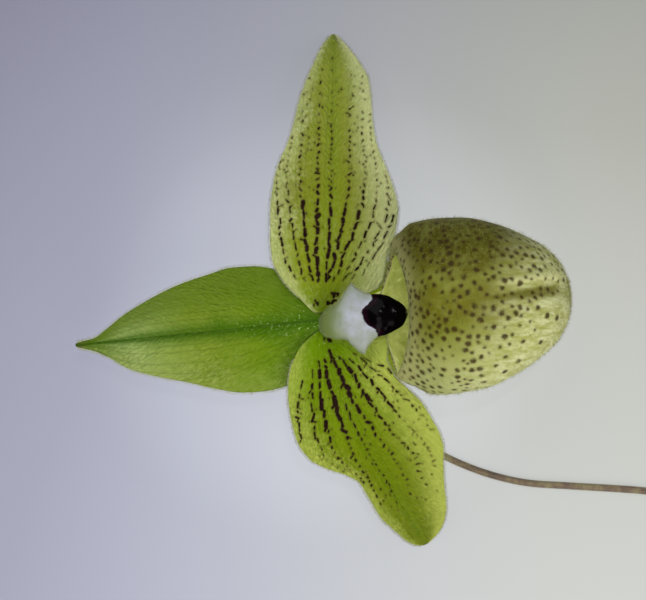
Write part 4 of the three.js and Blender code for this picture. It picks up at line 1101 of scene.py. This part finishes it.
# ---- table, light and camera ----
# A pale table that glows a little, so that shadows on it stay pale. Its colour carries a painted pool of light round
# the flower, painted light that grows towards +x and -y, and a cooler painted tint on its left. Two large soft lights,
# a small lamp for the glints on glossy skin, and the camera straight above the flower.
TABLE_REACH = 2  # metres from its middle to each edge
CAMERA_PLACE = (-0.0270, -0.0021, 0.368)
CAMERA_LENS = 97.52
AIM = (0, 0, 0.02)  # where the lights point
table_paint, tree, shader, place = finish("table, matt pale grey")
# Painted light on the table: a gradient towards +x and -y, a pool round the flower and a cooler tint to the left.
across = add(tree, "VectorMath", {0: place, 1: (2.4, -4.0, 0)}, operation="DOT_PRODUCT").outputs["Value"]
off_centre = add(tree, "VectorMath", {0: place, 1: (-0.027, -0.002, 0)}, operation="SUBTRACT").outputs[0]
spread = add(tree, "VectorMath", {0: off_centre, 1: off_centre}, operation="DOT_PRODUCT").outputs["Value"]
far = add(tree, "Math", {0: spread, 1: -87.0}, operation="MULTIPLY").outputs[0]
far = add(tree, "Math", {0: far}, operation="EXPONENT").outputs[0]
lit = add(tree, "Math", {0: far, 1: 0.45, 2: across}, operation="MULTIPLY_ADD").outputs[0]
pool = {0: spread, 1: 0.0, 2: 0.003, 3: 0.49, 4: 0.26}
pool = add(tree, "MapRange", pool, interpolation_type="SMOOTHSTEP").outputs[0]
lit = add(tree, "Math", {0: lit, 1: pool}, operation="ADD").outputs[0]
cool = add(tree, "ValToRGB", {"Fac": lit}, [(0.0, "#404049"), (0.5, "#4f5059"), (1.0, "#64666e")]).outputs["Color"]
neutral = add(tree, "ValToRGB", {"Fac": lit}, [(0.0, "#404140"), (0.5, "#545551"), (1.0, "#6a6b69")]).outputs["Color"]
sideways = add(tree, "SeparateXYZ", {0: place}).outputs["X"]
tint = laid_over(tree, cool, sideways, (-0.08, 0.04), (0, 1), neutral)
put(tree, shader, {
    "Base Color": tint, "Emission Color": tint, "Emission Strength": 4.0,
    "Specular IOR Level": 0.0, "Roughness": 0.9,
})
table_mesh = bpy.data.meshes.new("table")
table_corners = [(x * TABLE_REACH, y * TABLE_REACH, 0) for x, y in ((-1, -1), (1, -1), (1, 1), (-1, 1))]
table_mesh.from_pydata(table_corners, [], [(0, 1, 2, 3)])
table_mesh.materials.append(table_paint)
table = bpy.data.objects.new("table", table_mesh)
bpy.context.scene.collection.objects.link(table)


def soft_light(name, place, target, size, power, colour):
    """A square area light at place, turned to face target."""
    data = bpy.data.lights.new(name, "AREA")
    data.size, data.energy, data.color = size, power, linear(colour)[:3]
    light = bpy.data.objects.new(name, data)
    aim = np.array(target, float) - np.array(place, float)
    flat = math.hypot(aim[0], aim[1])
    light.location = place
    light.rotation_euler = (math.atan2(flat, -aim[2]), 0, math.atan2(aim[1], aim[0]) - math.pi / 2)
    bpy.context.scene.collection.objects.link(light)


soft_light("window", (0.22, -0.5, 0.68), AIM, 0.7, 5.2, "#fffaf2")
soft_light("north window", (-0.3, 0.45, 0.7), AIM, 0.7, 3.2, "#f8f8fa")
soft_light("lamp", (0.02, 0.12, 0.7), AIM, 0.014, 0.9, "#ffffff")
world = bpy.data.worlds.new("room")
world.use_nodes = True
put(world.node_tree, world.node_tree.nodes["Background"], {"Color": linear("#e4e8f2"), "Strength": 0.3})
bpy.context.scene.world = world
bpy.context.scene.view_settings.view_transform = "Standard"

camera_data = bpy.data.cameras.new("camera")
camera_data.sensor_width, camera_data.sensor_fit, camera_data.lens = 36, "HORIZONTAL", CAMERA_LENS
camera_data.clip_start = 0.01
camera = bpy.data.objects.new("camera", camera_data)
camera.location = CAMERA_PLACE
bpy.context.scene.collection.objects.link(camera)
bpy.context.scene.camera = camera
